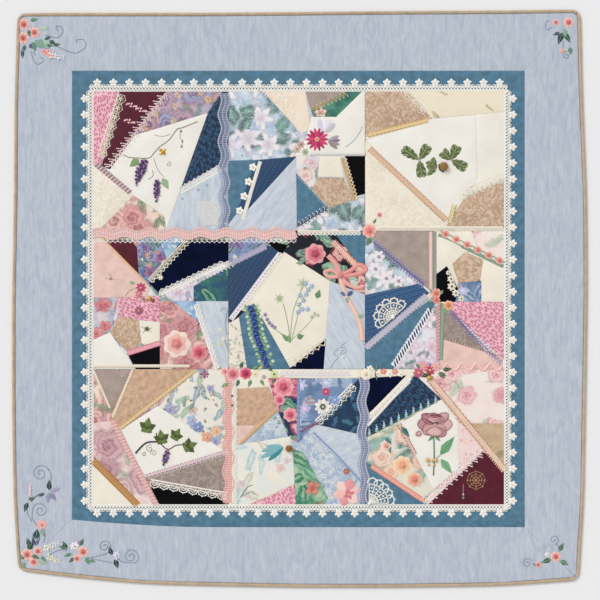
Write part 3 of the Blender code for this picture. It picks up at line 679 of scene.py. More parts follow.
tulip_print = printed_cloth(
    "tulip_printed_cotton", "#3F8468", "#B4D0B0",
    (24, 13, 0, 0, 1.7, 0.8, ("#2F7458", "#5C9C7C"), "#9CC8A4"),
    (27, 15, 4, 0.22, 1.2, 0.7, ("#E58F7C", "#EDB49C", "#D96A63"), "#B8504C"),
)
pink_white_floral = printed_cloth(
    "pink_and_white_floral_cotton", "#F2E9DF", "#F4DFD8",
    (28, 11, 0, 0, 1.7, 0.35, ("#7FA08C", "#C4CDB4"), "#A9BCA0"),
    (34, 17, 5, 0.1, 1.0, 0.6, ("#F0BFBC", "#F5DAD2", "#E59CA4"), "#D4788C"),
)
pink_tiny_floral = printed_cloth(
    "pink_tiny_floral_cotton", "#F2DAD4", "#F0CFCF",
    (8, 3.0, 5, 0.2, 1.0, 0.8, ("#D9798C", "#E9A3A6", "#B86A86"), "#F6E3C4"),
)
tan_floral = printed_cloth(
    "tan_floral_brocade", "#CBB08E", "#BCA078", (22, 10, 0, 0, 1.8, 0.4, ("#9A9468", "#A89A6C"), "#7F7A52"),
    (24, 10, 5, 0.12, 1.0, 0.35, ("#E3CDA9", "#D9B08C"), "#A8805F"),
)

piece_block(
    1, 1, (silver_blue_silk, 0, (-314, 312), (-103, 312), (-103, 99), (-314, 99)),
    (rose_print, 20, (-247, 155), (-195, 125), (-201, 97), (-299, 97)),
    (cream_damask, 40, (-314, 208), (-246, 153), (-301, 97), (-314, 97)),
    (ivory_silk, 10, (-255, 245), (-223, 248), (-135, 277), (-175, 165), (-198, 102), (-200, 122),
     (-247, 153), (-286, 191)),
    (navy_dashes, -22, (-136, 275), (-115, 312), (-100, 312), (-100, 210), (-175, 165)),
    (mauve_floral, 0, (-222, 315), (-109, 315), (-136, 275), (-223, 248), (-247, 241)),
    (burgundy, 55, (-268, 315), (-192, 315), (-281, 191), (-293, 196)),
    (pink_jacquard, 15, (-317, 315), (-265, 315), (-293, 196), (-317, 202)),
)
piece_block(
    1, 2, (silver_blue_silk, -40, (-109, 312), (101, 312), (101, 97), (-109, 97)),
    (lily_print, 15, (-109, 315), (-60, 315), (11, 237), (-8, 208), (-109, 201)),
    (peach_brocade, 80, (-63, 315), (8, 315), (17, 250), (3, 244)),
    (taupe_silk, 60, (6, 315), (73, 315), (67, 303), (17, 278)),
    (ivory_silk, 0, (9, 237), (18, 272), (54, 271), (92, 306), (101, 309), (101, 211), (-11, 207)),
    (green_floral, 35, (67, 305), (73, 315), (101, 315), (101, 309), (92, 306), (54, 269), (20, 269),
     (17, 278)),
    (teal_cotton, 0, (-109, 204), (-63, 205), (-94, 125), (-109, 105)),
    (navy_scale, 60, (-63, 205), (-5, 210), (-81, 127), (-94, 125)),
    (peach_floral, 0, (-5, 211), (32, 211), (21, 158), (-5, 179)),
    (cream_silk, 0, (29, 211), (61, 211), (66, 176), (27, 179)),
    (tan_brocade, 25, (27, 180), (64, 179), (81, 142), (45, 133), (18, 159)),
    (lily_print, 65, (40, 133), (81, 146), (101, 151), (101, 97), (-8, 97), (-4, 106)),
    (teal_cotton, 45, (-5, 185), (42, 134), (-4, 105)),
    (black_velvet, 0, (67, 211), (101, 211), (101, 156), (81, 151)),
)
piece_block(
    1, 3, (cream_brocade, 0, (94, 312), (309, 312), (309, 97), (94, 97)),
    (tan_brocade, 20, (232, 146), (309, 179), (309, 105), (217, 105)),
    (striped_cream, 25, (260, 281), (309, 281), (309, 179), (232, 146)),
    (ivory_silk, 15, (98, 235), (196, 266), (261, 278), (263, 176), (218, 110)),
    (sprig_cream, 5, (150, 315), (309, 315), (309, 277), (196, 266)),
    (tan_brocade, 45, (94, 315), (152, 315), (196, 266), (94, 238)),
)
piece_block(
    2, 1, (white_floral, 0, (-314, 103), (-103, 103), (-103, -108), (-314, -108)),
    (light_pink, 45, (-314, 103), (-306, 103), (-221, 17), (-226, 1), (-314, 1)),
    (burgundy, 30, (-306, 103), (-262, 103), (-241, 75), (-238, 34)),
    (blue_floral, 0, (-262, 103), (-157, 103), (-206, 38), (-221, 17), (-238, 34), (-241, 75)),
    (blue_print, 0, (-214, 103), (-150, 103), (-172, 72), (-196, 57)),
    (navy_velvet, 20, (-161, 103), (-100, 103), (-100, 59), (-209, 8), (-223, 23)),
    (lake_print, 20, (-157, 18), (-128, 34), (-100, 50), (-100, -4), (-157, -4)),
    (red_blue_floral, 0, (-314, 1), (-268, 1), (-281, -51), (-314, -66)),
    (pink_jacquard, 60, (-269, 1), (-207, 4), (-207, -36), (-240, -32), (-268, -27)),
    (cream_silk, 0, (-238, -32), (-207, -35), (-207, -70), (-235, -67)),
    (tan_brocade, 20, (-269, -26), (-238, -32), (-234, -67), (-256, -79), (-281, -51)),
    (ivory_silk, 40, (-314, -65), (-281, -50), (-241, -108), (-314, -108)),
    (black_velvet, 0, (-256, -81), (-206, -67), (-206, -108), (-241, -108)),
    (rose_print, 0, (-207, -4), (-186, -4), (-148, -35), (-137, -67), (-114, -108), (-207, -108)),
    (blue_print, 30, (-189, -4), (-152, -4), (-148, -36)),
    (silver_blue_silk, 20, (-154, -4), (-100, -4), (-100, -108), (-114, -108), (-139, -67)),
)
piece_block(
    2, 2, (dark_floral, 0, (-109, 103), (101, 103), (101, -108), (-109, -108)),
    (blue_floral, 30, (-112, 103), (-11, 103), (-47, 78), (-109, 45)),
    (navy_scale, 60, (-109, 45), (-48, 78), (-23, 78), (-28, 67), (-109, -41)),
    (black_velvet, 0, (-53, 87), (-17, 79), (-28, 66)),
    (cream_silk, 10, (-23, 69), (45, 26), (40, -59), (-14, -105), (-71, -20), (-89, -17)),
    (tiny_floral, 80, (-112, -41), (-87, -26), (-75, -110), (-112, -110)),
    (teal_cotton, 30, (-90, -27), (-68, -7), (-10, -110), (-77, -110)),
    (navy_velvet, 0, (-17, -105), (42, -59), (36, -110), (-17, -110)),
    (teal_cotton, 45, (45, 105), (101, 105), (101, 33)),
    (silver_blue_silk, 30, (45, 26), (101, 4), (101, -110), (35, -110)),
)
piece_block(
    2, 3, (cream_silk, 0, (94, 103), (309, 103), (309, -108), (94, -108)),
    (lily_print, 0, (91, 103), (113, 103), (110, 79), (177, 22), (94, 2)),
    (taupe_silk, 60, (110, 103), (199, 103), (199, 7), (180, 22), (110, 79)),
    (blue_scale, 15, (91, 4), (177, 22), (192, 8), (91, -73)),
    (white_floral, 0, (134, -110), (201, -2), (208, -108)),
    (teal_cotton, 40, (91, -75), (201, 4), (201, -7), (135, -110), (91, -110)),
    (pink_white_floral, 0, (253, 103), (309, 103), (309, 45), (269, 63)),
    (tan_brocade, 30, (245, 69), (272, 57), (267, 26), (235, 23), (226, 51)),
    (periwinkle_floral, 0, (233, 23), (269, 26), (269, -5), (230, -5)),
    (black_velvet, 0, (201, 35), (218, 48), (235, 13), (230, -5), (201, -5)),
    (pink_jacquard, 45, (218, -5), (312, -5), (312, -100), (226, -20)),
    (taupe_brocade, 50, (208, -5), (226, -17), (278, -82), (208, -59)),
    (light_pink, 20, (208, -59), (301, -87), (301, -110), (208, -110)),
)
piece_block(
    3, 1, (mauve_rose_print, 0, (-314, -102), (-103, -102), (-103, -311), (-314, -311)),
    (rose_print, 0, (-317, -99), (-305, -99), (-277, -180), (-314, -186)),
    (taupe_silk, 60, (-308, -99), (-244, -99), (-280, -171)),
    (tan_linen, 35, (-247, -99), (-149, -99), (-268, -194), (-280, -173)),
    (garden_print, 20, (-210, -161), (-149, -99), (-100, -99), (-100, -231), (-112, -226)),
    (ivory_silk, 10, (-265, -194), (-210, -159), (-108, -228), (-229, -266), (-252, -222)),
    (cream_silk, 45, (-317, -245), (-296, -242), (-241, -299), (-241, -314), (-317, -314)),
    (taupe_brocade, 15, (-228, -265), (-100, -225), (-100, -297), (-218, -275)),
    (black_velvet, 0, (-222, -275), (-100, -296), (-100, -314), (-210, -314)),
)
piece_block(
    3, 2, (hydrangea_print, 40, (-109, -102), (101, -102), (101, -311), (-109, -311)),
    (cream_silk, 0, (-109, -102), (101, -102), (101, -118), (-46, -118), (-40, -140), (-94, -225),
     (-94, -311), (-109, -311)),
    (tan_linen, 50, (-94, -134), (-46, -131), (-32, -162), (-89, -216), (-94, -210)),
    (light_pink, 0, (-94, -188), (-65, -188), (-89, -217), (-94, -217)),
    (hydrangea_print, 0, (-34, -161), (-14, -205), (-74, -217), (-89, -217)),
    (peony_print, 0, (-47, -118), (-1, -118), (-1, -214), (-16, -207), (-34, -162)),
    (leafy_print, 10, (-94, -217), (-14, -204), (-5, -280), (-94, -314)),
    (pink_jacquard, 20, (-94, -314), (-8, -275), (-4, -314)),
    (periwinkle_floral, 0, (-3, -118), (92, -118), (29, -186), (-3, -214)),
    (navy_leaf, 30, (91, -115), (101, -115), (101, -207), (23, -189), (27, -183)),
    (silver_blue_silk, -60, (23, -186), (101, -204), (101, -271), (91, -271), (9, -201)),
    (hydrangea_print, 40, (5, -204), (14, -199), (91, -269), (40, -296), (5, -232)),
    (tulip_print, 70, (-10, -222), (6, -229), (42, -296), (30, -314), (-5, -314)),
)
piece_block(
    3, 3, (pink_white_floral, 0, (94, -102), (309, -102), (309, -311), (94, -311)),
    (cream_silk, 40, (91, -99), (196, -99), (193, -118), (170, -112), (91, -192)),
    (navy_velvet, 0, (91, -122), (110, -117), (158, -114), (109, -164), (91, -180)),
    (navy_dashes, 55, (91, -195), (171, -113), (210, -149), (91, -210)),
    (peach_rose_print, 0, (91, -208), (147, -188), (199, -283), (184, -300), (91, -237)),
    (ivory_silk, 20, (147, -186), (210, -149), (236, -185), (238, -250), (198, -283)),
    (teal_cotton, -35, (91, -237), (187, -302), (187, -314), (91, -314)),
    (tan_floral, 0, (247, -185), (312, -185), (312, -266), (273, -223)),
    (pink_tiny_floral, 0, (235, -185), (253, -185), (276, -223), (236, -251)),
    (burgundy, 20, (181, -314), (275, -223), (312, -265), (312, -314)),
)

# Borders: a teal cotton strip and a wide strip of pale watered silk round the blocks, mitred at the corners.
# They are sewn flat, with a few soft puckers in the silk near the lower right mitre.
BORDER_RIM = 1.4 * MM
BORDER_STEP = 8.0 * MM
BORDER_PUFF = 0.3 * MM
BORDER_LIFT = -0.2 * MM
BORDER_REACH = 5.0 * MM
BORDER_THICKNESS = 2.7 * MM
SEAM_OVERLAP = 0.3 * MM
SIDES = ("top", "right", "bottom", "left")


def let_out(bm, distance):
    """Moves an outline outwards, so that two strips meet over the gap between their solids."""
    moves = {}
    for edge in bm.edges:
        if edge.is_boundary:
            start, end = edge.link_loops[0].vert, edge.link_loops[0].link_loop_next.vert
            run = (end.co - start.co).normalized()
            for vertex in (start, end):
                moves.setdefault(vertex, []).append((run.y, -run.x))
    for vertex, outward in moves.items():
        sum_x, sum_y = sum(x for x, _ in outward), sum(y for _, y in outward)
        reach = distance * 2 / max(0.5, sum_x**2 + sum_y**2)
        vertex.co.x += sum_x * reach
        vertex.co.y += sum_y * reach


def border_strip(kind, side, cloth):
    """A strip cut to the outline of its solid, with a finer face that dips at its seams."""
    node = f"{kind}_{side}"
    bm = bmesh.new()
    bm.from_mesh(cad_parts[node].data)
    bmesh.ops.remove_doubles(bm, verts=bm.verts, dist=MERGE_DISTANCE)
    bm.normal_update()
    under = [face for face in bm.faces if face.normal.z < 0.5]
    bmesh.ops.delete(bm, geom=under, context="FACES")
    for vertex in bm.verts:
        vertex.co.z = 0.0
    bmesh.ops.dissolve_limit(bm, angle_limit=0.001, verts=bm.verts, edges=bm.edges)
    let_out(bm, SEAM_OVERLAP)
    area = sum(face.calc_area() for face in bm.faces)
    puff_up(bm, BORDER_RIM, BORDER_STEP, BORDER_LIFT, BORDER_PUFF, BORDER_REACH)
    lay_grain(bm, 0)
    piece = join_sheet(f"{kind}_{side}_cloth", [(bm, cloth)], BORDER_THICKNESS)
    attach(piece, "root")
    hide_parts(node)


for side in SIDES:
    border_strip("border_inner", side, teal_cotton)
    border_strip("border_outer", side, pale_watered_silk)

# Piping: a cord covered in tan satin cut on the bias, sewn into the edge all round. Its cover shows the fine
# slanting pull of the bias and a satin shine.
def piping_satin():
    """Tan satin: low roughness, slanting bias lines 3 mm apart."""
    material, shader = new_material("tan_bias_satin")
    place = add_node(material, "TexCoord").outputs["Object"]
    pull = {"Vector": place, "Scale": WAVE_PERIOD / 0.0045, "Distortion": 2.0, "Detail": 2.0}
    slant = add_node(material, "TexWave", pull, bands_direction="DIAGONAL").outputs["Fac"]
    bump = {"Height": slant, "Distance": 0.0004, "Strength": 0.5}
    normal = add_node(material, "Bump", bump).outputs["Normal"]
    dyed = uneven_tone(material, place, "#BCA68B", 0.14, 0.01)
    return finish_cloth(material, shader, dyed, normal, roughness=0.4, sheen=0.3)


def rounded_copy(node, name, levels):
    """A solid's own shape, made round by subdivision, with its cut ends kept sharp."""
    bm = bmesh.new()
    bm.from_mesh(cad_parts[node].data)
    bmesh.ops.remove_doubles(bm, verts=bm.verts, dist=MERGE_DISTANCE)
    limits = {"angle_face_threshold": 1.2, "angle_shape_threshold": 3.1}
    ends = [face for face in bm.faces if all(len(edge.link_faces) == 2 for edge in face.edges)]
    bmesh.ops.join_triangles(bm, faces=ends, **limits)
    for face in bm.faces:
        face.smooth = True
    creases = bm.edges.layers.float.new("crease_edge")
    for face in bm.faces:
        if len(face.verts) > 4:
            for edge in face.edges:
                edge[creases] = 1.0
    mesh = bpy.data.meshes.new(name)
    bm.to_mesh(mesh)
    bm.free()
    piece = add_object(name, mesh)
    rounding = piece.modifiers.new("round", "SUBSURF")
    rounding.levels = rounding.render_levels = levels
    return piece


satin = piping_satin()
for side in SIDES:
    piping = rounded_copy(f"piping_{side}", f"piping_{side}_cover", 2)
    piping.data.materials.clear()
    piping.data.materials.append(satin)
    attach(piping, "root")
    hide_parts(f"piping_{side}")

# Laces, ribbons, braids and cords: sewn over the seams. Each is one repeat, worked flat in thread, set again
# and again along its seam by Geometry Nodes, and then laid on the quilt's face.
TRIM_LIFT = 0.75 * MM
SAGE = "#A9BC9C"  # the usual vein of a leaf


class Work:
    """Needlework worked flat in mm, with heights over the cloth. Each face has the colour and kind of its
    thread."""

    FLOSS, GLASS, GOLD = range(3)
    ROUND = ((0.12, 0.28), (0.4, 0.5), (0.72, 0.42), (0.93, 0.2))
    POINTED = ((0.1, 0.22), (0.34, 0.5), (0.62, 0.36), (0.84, 0.14))

    def __init__(self):
        self.points, self.faces, self.tones, self.kinds = [], [], [], []

    def add(self, points, faces, tone, kind=0):
        first = len(self.points)
        self.points += [(x * MM, y * MM, z * MM) for x, y, z in points]
        self.faces += [[first + corner for corner in face] for face in faces]
        self.tones += [colour(tone)] * len(faces)
        self.kinds += [kind] * len(faces)

    def thread(self, path, width, tone, base=0.0, kind=0, height=None):
        """A stitch along a path: a low ridge, closed underneath."""
        points, faces, top = [], [], base + (height or 0.6 * width)
        for index, (x, y) in enumerate(path):
            before, after = path[max(index - 1, 0)], path[min(index + 1, len(path) - 1)]
            run = math.dist(before, after) or 1
            side_x = (before[1] - after[1]) / run * width / 2
            side_y = (after[0] - before[0]) / run * width / 2
            points += [(x + side_x, y + side_y, base), (x, y, top), (x - side_x, y - side_y, base)]
        for a in range(0, 3 * len(path) - 3, 3):
            b = a + 3
            faces += [(a, a + 1, b + 1, b), (a + 1, a + 2, b + 2, b + 1), (a + 2, a, b, b + 2)]
        last = 3 * len(path) - 3
        faces += [(0, 2, 1), (last, last + 1, last + 2)]
        self.add(points, faces, tone, kind)

    def petal(self, x, y, angle, length, width, tone, base=0.0, rise=0.6, kind=0, side=ROUND):
        """A petal or leaf with a raised middle, of one of two outlines."""
        cos, sin = math.cos(math.radians(angle)), math.sin(math.radians(angle))
        flat = [(0, 0, 0), *((u, -v, 0) for u, v in side), (1, 0, 0)]
        flat += [*((u, v, 0) for u, v in reversed(side)), (0.3, 0, rise), (0.75, 0, 0.8 * rise)]
        points = [
            (x + u * length * cos - v * width * sin, y + u * length * sin + v * width * cos, base + z)
            for u, v, z in flat
        ]
        top = [(0, 1, 10), (1, 2, 10), (2, 3, 11, 10), (3, 4, 11), (4, 5, 11)]
        top += [(5, 6, 11), (6, 7, 11), (7, 8, 10, 11), (8, 9, 10), (9, 0, 10)]
        self.add(points, top + [(9, 8, 7, 6, 5, 4, 3, 2, 1, 0)], tone, kind)

    def bead(self, x, y, radius, tone, base=0.0, kind=0):
        """A bead or knot: a low six-sided dome."""
        points = []
        for ring, height in ((1.0, 0.3), (0.7, 1.0)):
            for turn in range(6):
                angle = turn * math.pi / 3
                far = radius * ring
                points.append((x + far * math.cos(angle), y + far * math.sin(angle), height))
        points = [(px, py, base + height * radius) for px, py, height in points]
        points.append((x, y, base + 1.25 * radius))
        faces = [(5, 4, 3, 2, 1, 0)]
        for a in range(6):
            b = (a + 1) % 6
            faces += [(a, b, b + 6, a + 6), (a + 6, b + 6, 12)]
        self.add(points, faces, tone, kind)

    def flower(self, x, y, radius, petals, tone, middle, base=0.0, turn=0.0, fullness=1.15):
        """A flower with one ring of petals and a knot in its middle."""
        width = 2 * math.pi * radius / petals * 0.55 * fullness
        for petal in range(petals):
            angle = turn + petal * 360 / petals
            self.petal(x, y, angle, radius, width, tone, base + 0.15 * (petal % 2))
        self.bead(x, y, radius * 0.24, middle, base + 0.45)

    def rose(self, x, y, radius, tones, base=0.0):
        """A ribbon rose: rings of broad petals, each ring smaller, higher and of its own colour."""
        for ring, (size, petals, tone) in enumerate(zip((1.0, 0.74, 0.44), (7, 6, 5), tones)):
            for petal in range(petals):
                angle = petal * 360 / petals + ring * 31
                self.petal(x, y, angle, radius * size, radius * size * 0.95, tone, base + ring * 0.5, 0.5)
        self.bead(x, y, radius * 0.2, tones[2], base + 1.5)

    def leaf(self, x, y, angle, length, width, tone, vein=SAGE, base=0.1):
        self.petal(x, y, angle, length, width, tone, base, side=self.POINTED)
        cos, sin = math.cos(math.radians(angle)), math.sin(math.radians(angle))
        self.thread([(x, y), (x + 0.85 * length * cos, y + 0.85 * length * sin)], 0.6, vein, base + 0.45)

    def tape(self, length, width, tone, height=0.5, across=0.0):
        """A flat woven tape along X, with a slightly raised middle."""
        half = width / 2
        profile = [(half, 0), (half, 0.6 * height), (0, height), (-half, 0.6 * height), (-half, 0)]
        points = [(end * length / 2, across + y, z) for end in (-1, 1) for y, z in profile]
        faces = [(a, (a + 1) % 5, (a + 1) % 5 + 5, a + 5) for a in range(5)]
        self.add(points, faces + [(4, 3, 2, 1, 0), (5, 6, 7, 8, 9)], tone)


def arc(x, y, radius, start, end, steps=8, flatten=1.0):
    """Points round a circle's arc, in degrees."""
    angles = [math.radians(start + (end - start) * step / steps) for step in range(steps + 1)]
    return [(x + radius * math.cos(a), y + radius * flatten * math.sin(a)) for a in angles]


def point_at(x, y, radius, angle, flatten=1.0):
    """The point of a circle at an angle in degrees."""
    return arc(x, y, radius, angle, angle, 1, flatten)[0]


def wave(length, height, across=0.0, steps=8, turn=0.0):
    """Points of one full wave along X, centred."""
    places = [step / steps for step in range(steps + 1)]
    return [((p - 0.5) * length, across + height * math.sin(2 * math.pi * p + turn)) for p in places]


def floss(name, roughness, metallic=0.0, sheen=0.2):
    """Thread in the colour its faces hold, with a fine twist. Roughness and metal make it cotton, glass or
    gold."""
    material, shader = new_material(name)
    tone = add_node(material, "Attribute", attribute_name="floss").outputs["Color"]
    place = add_node(material, "TexCoord").outputs["Object"]
    fibre = add_node(material, "TexNoise", {"Vector": place, "Scale": 1800.0, "Detail": 2.0}).outputs["Fac"]
    bump = {"Height": fibre, "Distance": 0.0003, "Strength": 0.5}
    normal = add_node(material, "Bump", bump).outputs["Normal"]
    shader.inputs["Metallic"].default_value = metallic
    return finish_cloth(material, shader, tone, normal, roughness, sheen)


# Mercerised cotton has a soft silky face, glass beads have small sharp glints, and gilt thread a warm metal
# shine.
NEEDLEWORK = (
    floss("cotton_floss", roughness=0.6),
    floss("glass_bead", roughness=0.15, sheen=0.0),
    floss("gold_thread", roughness=0.35, metallic=0.6, sheen=0.0),
)


def work_mesh(name, work):
    mesh = bpy.data.meshes.new(name)
    mesh.from_pydata(work.points, [], work.faces)
    tones = mesh.attributes.new("floss", "FLOAT_COLOR", "FACE")
    tones.data.foreach_set("color", np.array(work.tones).ravel())
    for material in NEEDLEWORK:
        mesh.materials.append(material)
    mesh.polygons.foreach_set("material_index", work.kinds)
    return mesh


def repeat_along_path():
    """Geometry nodes that set a repeat again and again along a path, each turned to follow it."""
    tree = bpy.data.node_groups.new("repeat_along_path", "GeometryNodeTree")
    sockets = (("Path", "Geometry"), ("Repeat", "Object"), ("Spacing", "Float"), ("Thread", "Material"))
    for label, kind in sockets:
        tree.interface.new_socket(label, in_out="INPUT", socket_type=f"NodeSocket{kind}")
    tree.interface.new_socket("Trim", in_out="OUTPUT", socket_type="NodeSocketGeometry")
    kinds = (
        "NodeGroupInput",
        "GeometryNodeMeshToCurve",
        "GeometryNodeCurveToPoints",
        "FunctionNodeAlignRotationToVector",
        "GeometryNodeObjectInfo",
        "GeometryNodeInstanceOnPoints",
        "GeometryNodeRealizeInstances",
        "GeometryNodeSetMaterial",
        "NodeGroupOutput",
    )
    added = [tree.nodes.new(kind) for kind in kinds]
    given, curve, points, turned, repeat, placed, real, painted, result = added
    points.mode = "LENGTH"
    turned.axis, turned.pivot_axis = "X", "Z"
    links = (
        (given.outputs["Path"], curve.inputs["Mesh"]),
        (curve.outputs["Curve"], points.inputs["Curve"]),
        (given.outputs["Spacing"], points.inputs["Length"]),
        (points.outputs["Tangent"], turned.inputs["Vector"]),
        (given.outputs["Repeat"], repeat.inputs["Object"]),
        (points.outputs["Points"], placed.inputs["Points"]),
        (repeat.outputs["Geometry"], placed.inputs["Instance"]),
        (turned.outputs["Rotation"], placed.inputs["Rotation"]),
        (placed.outputs["Instances"], real.inputs["Geometry"]),
        (real.outputs["Geometry"], painted.inputs["Geometry"]),
        (given.outputs["Thread"], painted.inputs["Material"]),
        (painted.outputs["Geometry"], result.inputs["Trim"]),
    )
    for start, end in links:
        tree.links.new(start, end)
    return tree


REPEATER = repeat_along_path()


def lay_on_quilt(mesh, lift):
    """Lets flat work follow the quilt's face."""
    places = np.empty(3 * len(mesh.vertices))
    mesh.vertices.foreach_get("co", places)
    places = places.reshape(-1, 3)
    places[:, 2] += cloth_tops(places[:, 0], places[:, 1]) + lift
    mesh.vertices.foreach_set("co", places.ravel())


def run_repeats(name, repeat, pitch, path, kind=Work.FLOSS):
    """The mesh of a repeat set along a path of points in mm, fitted to whole repeats."""
    corners = [(x * MM, y * MM, 0.0) for x, y in path]
    length = sum(math.dist(a, b) for a, b in zip(corners, corners[1:]))
    spacing = length / max(1, round(length / (pitch * MM)))
    first, last = math.dist(corners[0], corners[1]), math.dist(corners[-2], corners[-1])
    start = [a + (b - a) * spacing / 2 / first for a, b in zip(corners[0], corners[1])]
    end = [b + (a - b) * (spacing / 2 - 1e-5) / last for a, b in zip(corners[-2], corners[-1])]
    corners[0], corners[-1] = start, end
    sample = add_object("repeat", work_mesh("repeat", repeat))
    rows = bpy.data.meshes.new(name)
    rows.from_pydata(corners, [(a, a + 1) for a in range(len(corners) - 1)], [])
    piece = add_object(name, rows)
    nodes = piece.modifiers.new("repeats", "NODES")
    nodes.node_group = REPEATER
    settings = {"Repeat": sample, "Spacing": spacing, "Thread": NEEDLEWORK[kind]}
    for item in REPEATER.interface.items_tree:
        if item.name in settings:
            nodes[item.identifier] = settings[item.name]
    result = bpy.data.meshes.new_from_object(piece.evaluated_get(bpy.context.evaluated_depsgraph_get()))
    piece.modifiers.clear()
    bpy.data.objects.remove(sample)
    bpy.data.objects.remove(piece)
    return result


def guipure(work, pitch, width, tones):
    """Cotton lace with scallops: a heading, bars, a scallop with picots and a small one inside."""
    heading, thick = -width / 2 + 0.8, 1.5
    work.tape(pitch, 1.8, tones[0], 0.7, heading)
    work.thread(wave(pitch, 0.9, -0.16 * width), thick, tones[0])
    for share in (-0.25, 0.25):
        work.thread([(share * pitch, heading), (share * pitch, -0.16 * width)], 1.2, tones[0])
    scallop = arc(0, -0.1 * width, pitch * 0.46, 0, 180, 8, 0.44 * width / (pitch * 0.46))
    work.thread(scallop, thick, tones[-1])
    work.thread(arc(0, -0.1 * width, pitch * 0.24, 0, 180, 6, 0.9), 1.2, tones[0])
    for angle in (40, 90, 140):
        x, y = point_at(0, -0.1 * width, pitch * 0.5, angle, 0.5 * width / (pitch * 0.5))
        work.bead(x, y, 0.9, tones[-1])


def net_band(work, pitch, width, tones):
    """A wavy band of close crochet: rows that wave together, upright stitches across them, picots on both
    edges."""
    swing, half = width * 0.15, width * 0.34
    # The band under the stitches is darker, and the stitches, rows and picots paler, than the lace's own
    # colour: partly painted shade between the ribs and a painted highlight on them.
    work.thread(wave(pitch, swing, 0.0, 14), width * 0.66, tones[0], 0.0, 0, 0.5)
    for across in (-half, 0.0, half):
        work.thread(wave(pitch, swing, across, 14), 1.6 if across else 1.1, tones[-1], 0.5)
    stitches = round(pitch / 2.6)
    for stitch in range(stitches):
        x = (stitch / stitches - 0.5) * pitch
        middle = swing * math.sin(2 * math.pi * stitch / stitches)
        work.thread([(x, middle - half), (x, middle + half)], 1.2, tones[1], 0.35)
        for side in (-1, 1):
            work.bead(x, middle + side * (half + 1.0), 0.9, tones[-1])


def rosette_lace(work, pitch, width, tones):
    """Lace of round motifs, each with a flower in it, joined by a heading on one side."""
    radius = min(pitch, width) / 2 - 0.6
    work.thread(arc(0, 0, radius, 0, 360, 14), 1.3, tones[0])
    for petal in range(6):
        work.petal(0, 0, petal * 60, radius * 0.9, radius * 0.36, tones[-1], 0.1, 0.4)
        work.bead(*point_at(0, 0, radius + 0.9, petal * 60 + 30), 0.8, tones[0])
    work.bead(0, 0, 1.2, ECRU, 0.5)
    work.tape(pitch, 1.4, tones[0], 0.6, -width / 2 + 0.7)


def daisy_strip(work, pitch, width, tones):
    """A band of braid with white daisies standing along one side."""
    work.tape(pitch, width * 0.36, tones[0], 0.6, -width * 0.25)
    work.thread(wave(pitch, width * 0.1, -width * 0.25, 12), 0.9, tones[1], 0.4)
    work.flower(0, width * 0.28, width * 0.42, 5, tones[1], tones[2], 0.4)


def gimp(work, pitch, width, tones):
    """Open braid of threads that wave over and under each other, with picots along both edges."""
    work.tape(pitch, width * 0.66, tones[0], 0.3)
    for turn in (0, math.pi):
        work.thread(wave(pitch, width * 0.3, 0.0, 8, turn), width * 0.17, tones[1], 0.25)
    for side in (-1, 1):
        work.thread(wave(pitch, width * 0.05, side * width * 0.36, 4), width * 0.13, tones[-1], 0.1)
        for share in (-0.25, 0.25):
            work.bead(share * pitch, side * width * 0.46, max(0.8, width * 0.09), tones[share > 0])


def ruched(work, pitch, width, tones):
    """Ribbon gathered into slanting puffs."""
    work.tape(pitch, width * 0.7, tones[1], 0.4)
    for share in (-0.25, 0.25):
        tone = tones[0] if share < 0 else tones[-1]
        work.petal(share * pitch - width * 0.1, -width / 2, 78, width, pitch * 0.6, tone, 0.3, 0.9)


def plain_ribbon(work, pitch, width, tones):
    """Woven ribbon with firm edges and a row of small stitches down its middle."""
    work.tape(pitch, width, tones[0], 0.5)
    for side in (-1, 1):
        work.tape(pitch, width * 0.12, tones[1], 0.8, side * width * 0.42)
    stitch = [(-pitch * 0.3, -width * 0.18), (0, width * 0.18), (pitch * 0.3, -width * 0.18)]
    work.thread(stitch, 0.8, tones[-1], 0.4)


def herringbone(work, pitch, width, tones):
    """Two-colour braid with bold slanting stitches."""
    work.tape(pitch, width, tones[0], 0.4)
    work.petal(-pitch * 0.42, -width * 0.42, 48, width * 1.05, pitch * 0.55, tones[1], 0.3, 0.5)
    for side in (-1, 1):
        work.bead(0, side * width / 2, 0.9, tones[-1])


def twisted_cord(work, pitch, width, tones):
    """Cord laid up from two strands, seen as slanting turns."""
    for share, tone in ((-0.25, tones[0]), (0.25, tones[-1])):
        start = share * pitch - 0.36 * pitch
        work.petal(start, -width * 0.42, 55, width * 1.05, pitch * 0.66, tone, 0.2, width * 0.3)
    work.tape(pitch, width * 0.7, tones[0], width * 0.3)


def rick_rack(work, pitch, width, tones):
    """Waved braid with a paler thread along its middle."""
    work.thread(wave(pitch, width * 0.3, 0.0, 10), width * 0.4, tones[0], 0.0, 0, 0.8)
    work.thread(wave(pitch, width * 0.3, 0.0, 10), width * 0.12, tones[1], 0.7)


def feather_stitch(work, pitch, width, tones):
    """Feather stitch: a line with slanting arms to each side in turn, each with a knot."""
    spine = [(-pitch / 2, -width * 0.1), (0, width * 0.1), (pitch / 2, -width * 0.1)]
    work.thread(spine, 0.14 * width, tones[0])
    for side, start in ((1, -pitch * 0.5), (-1, 0.0)):
        for share, reach in ((0.0, 0.6), (0.3, 0.38)):
            x = start + share * pitch
            arm = [(x, 0), (x + pitch * 0.45, side * width * reach)]
            work.thread(arm, 0.14 * width, tones[share > 0])
        work.bead(start + pitch * 0.46, side * width * 0.6, 1.1, tones[-1])


def blanket_stitch(work, pitch, width, tones):
    """Blanket stitch: a line along the seam with an upright to one side."""
    work.thread([(-pitch / 2, -width / 2), (pitch / 2, -width / 2)], 1.1, tones[0])
    work.thread([(0, -width / 2), (0, width / 2)], 1.1, tones[-1])


def bead_line(work, pitch, width, tones):
    """Seed beads, one large and one small in turn."""
    work.bead(-pitch * 0.25, 0, width / 2, tones[0], 0, Work.GLASS)
    work.bead(pitch * 0.25, 0, width * 0.36, tones[-1], 0, Work.GLASS)


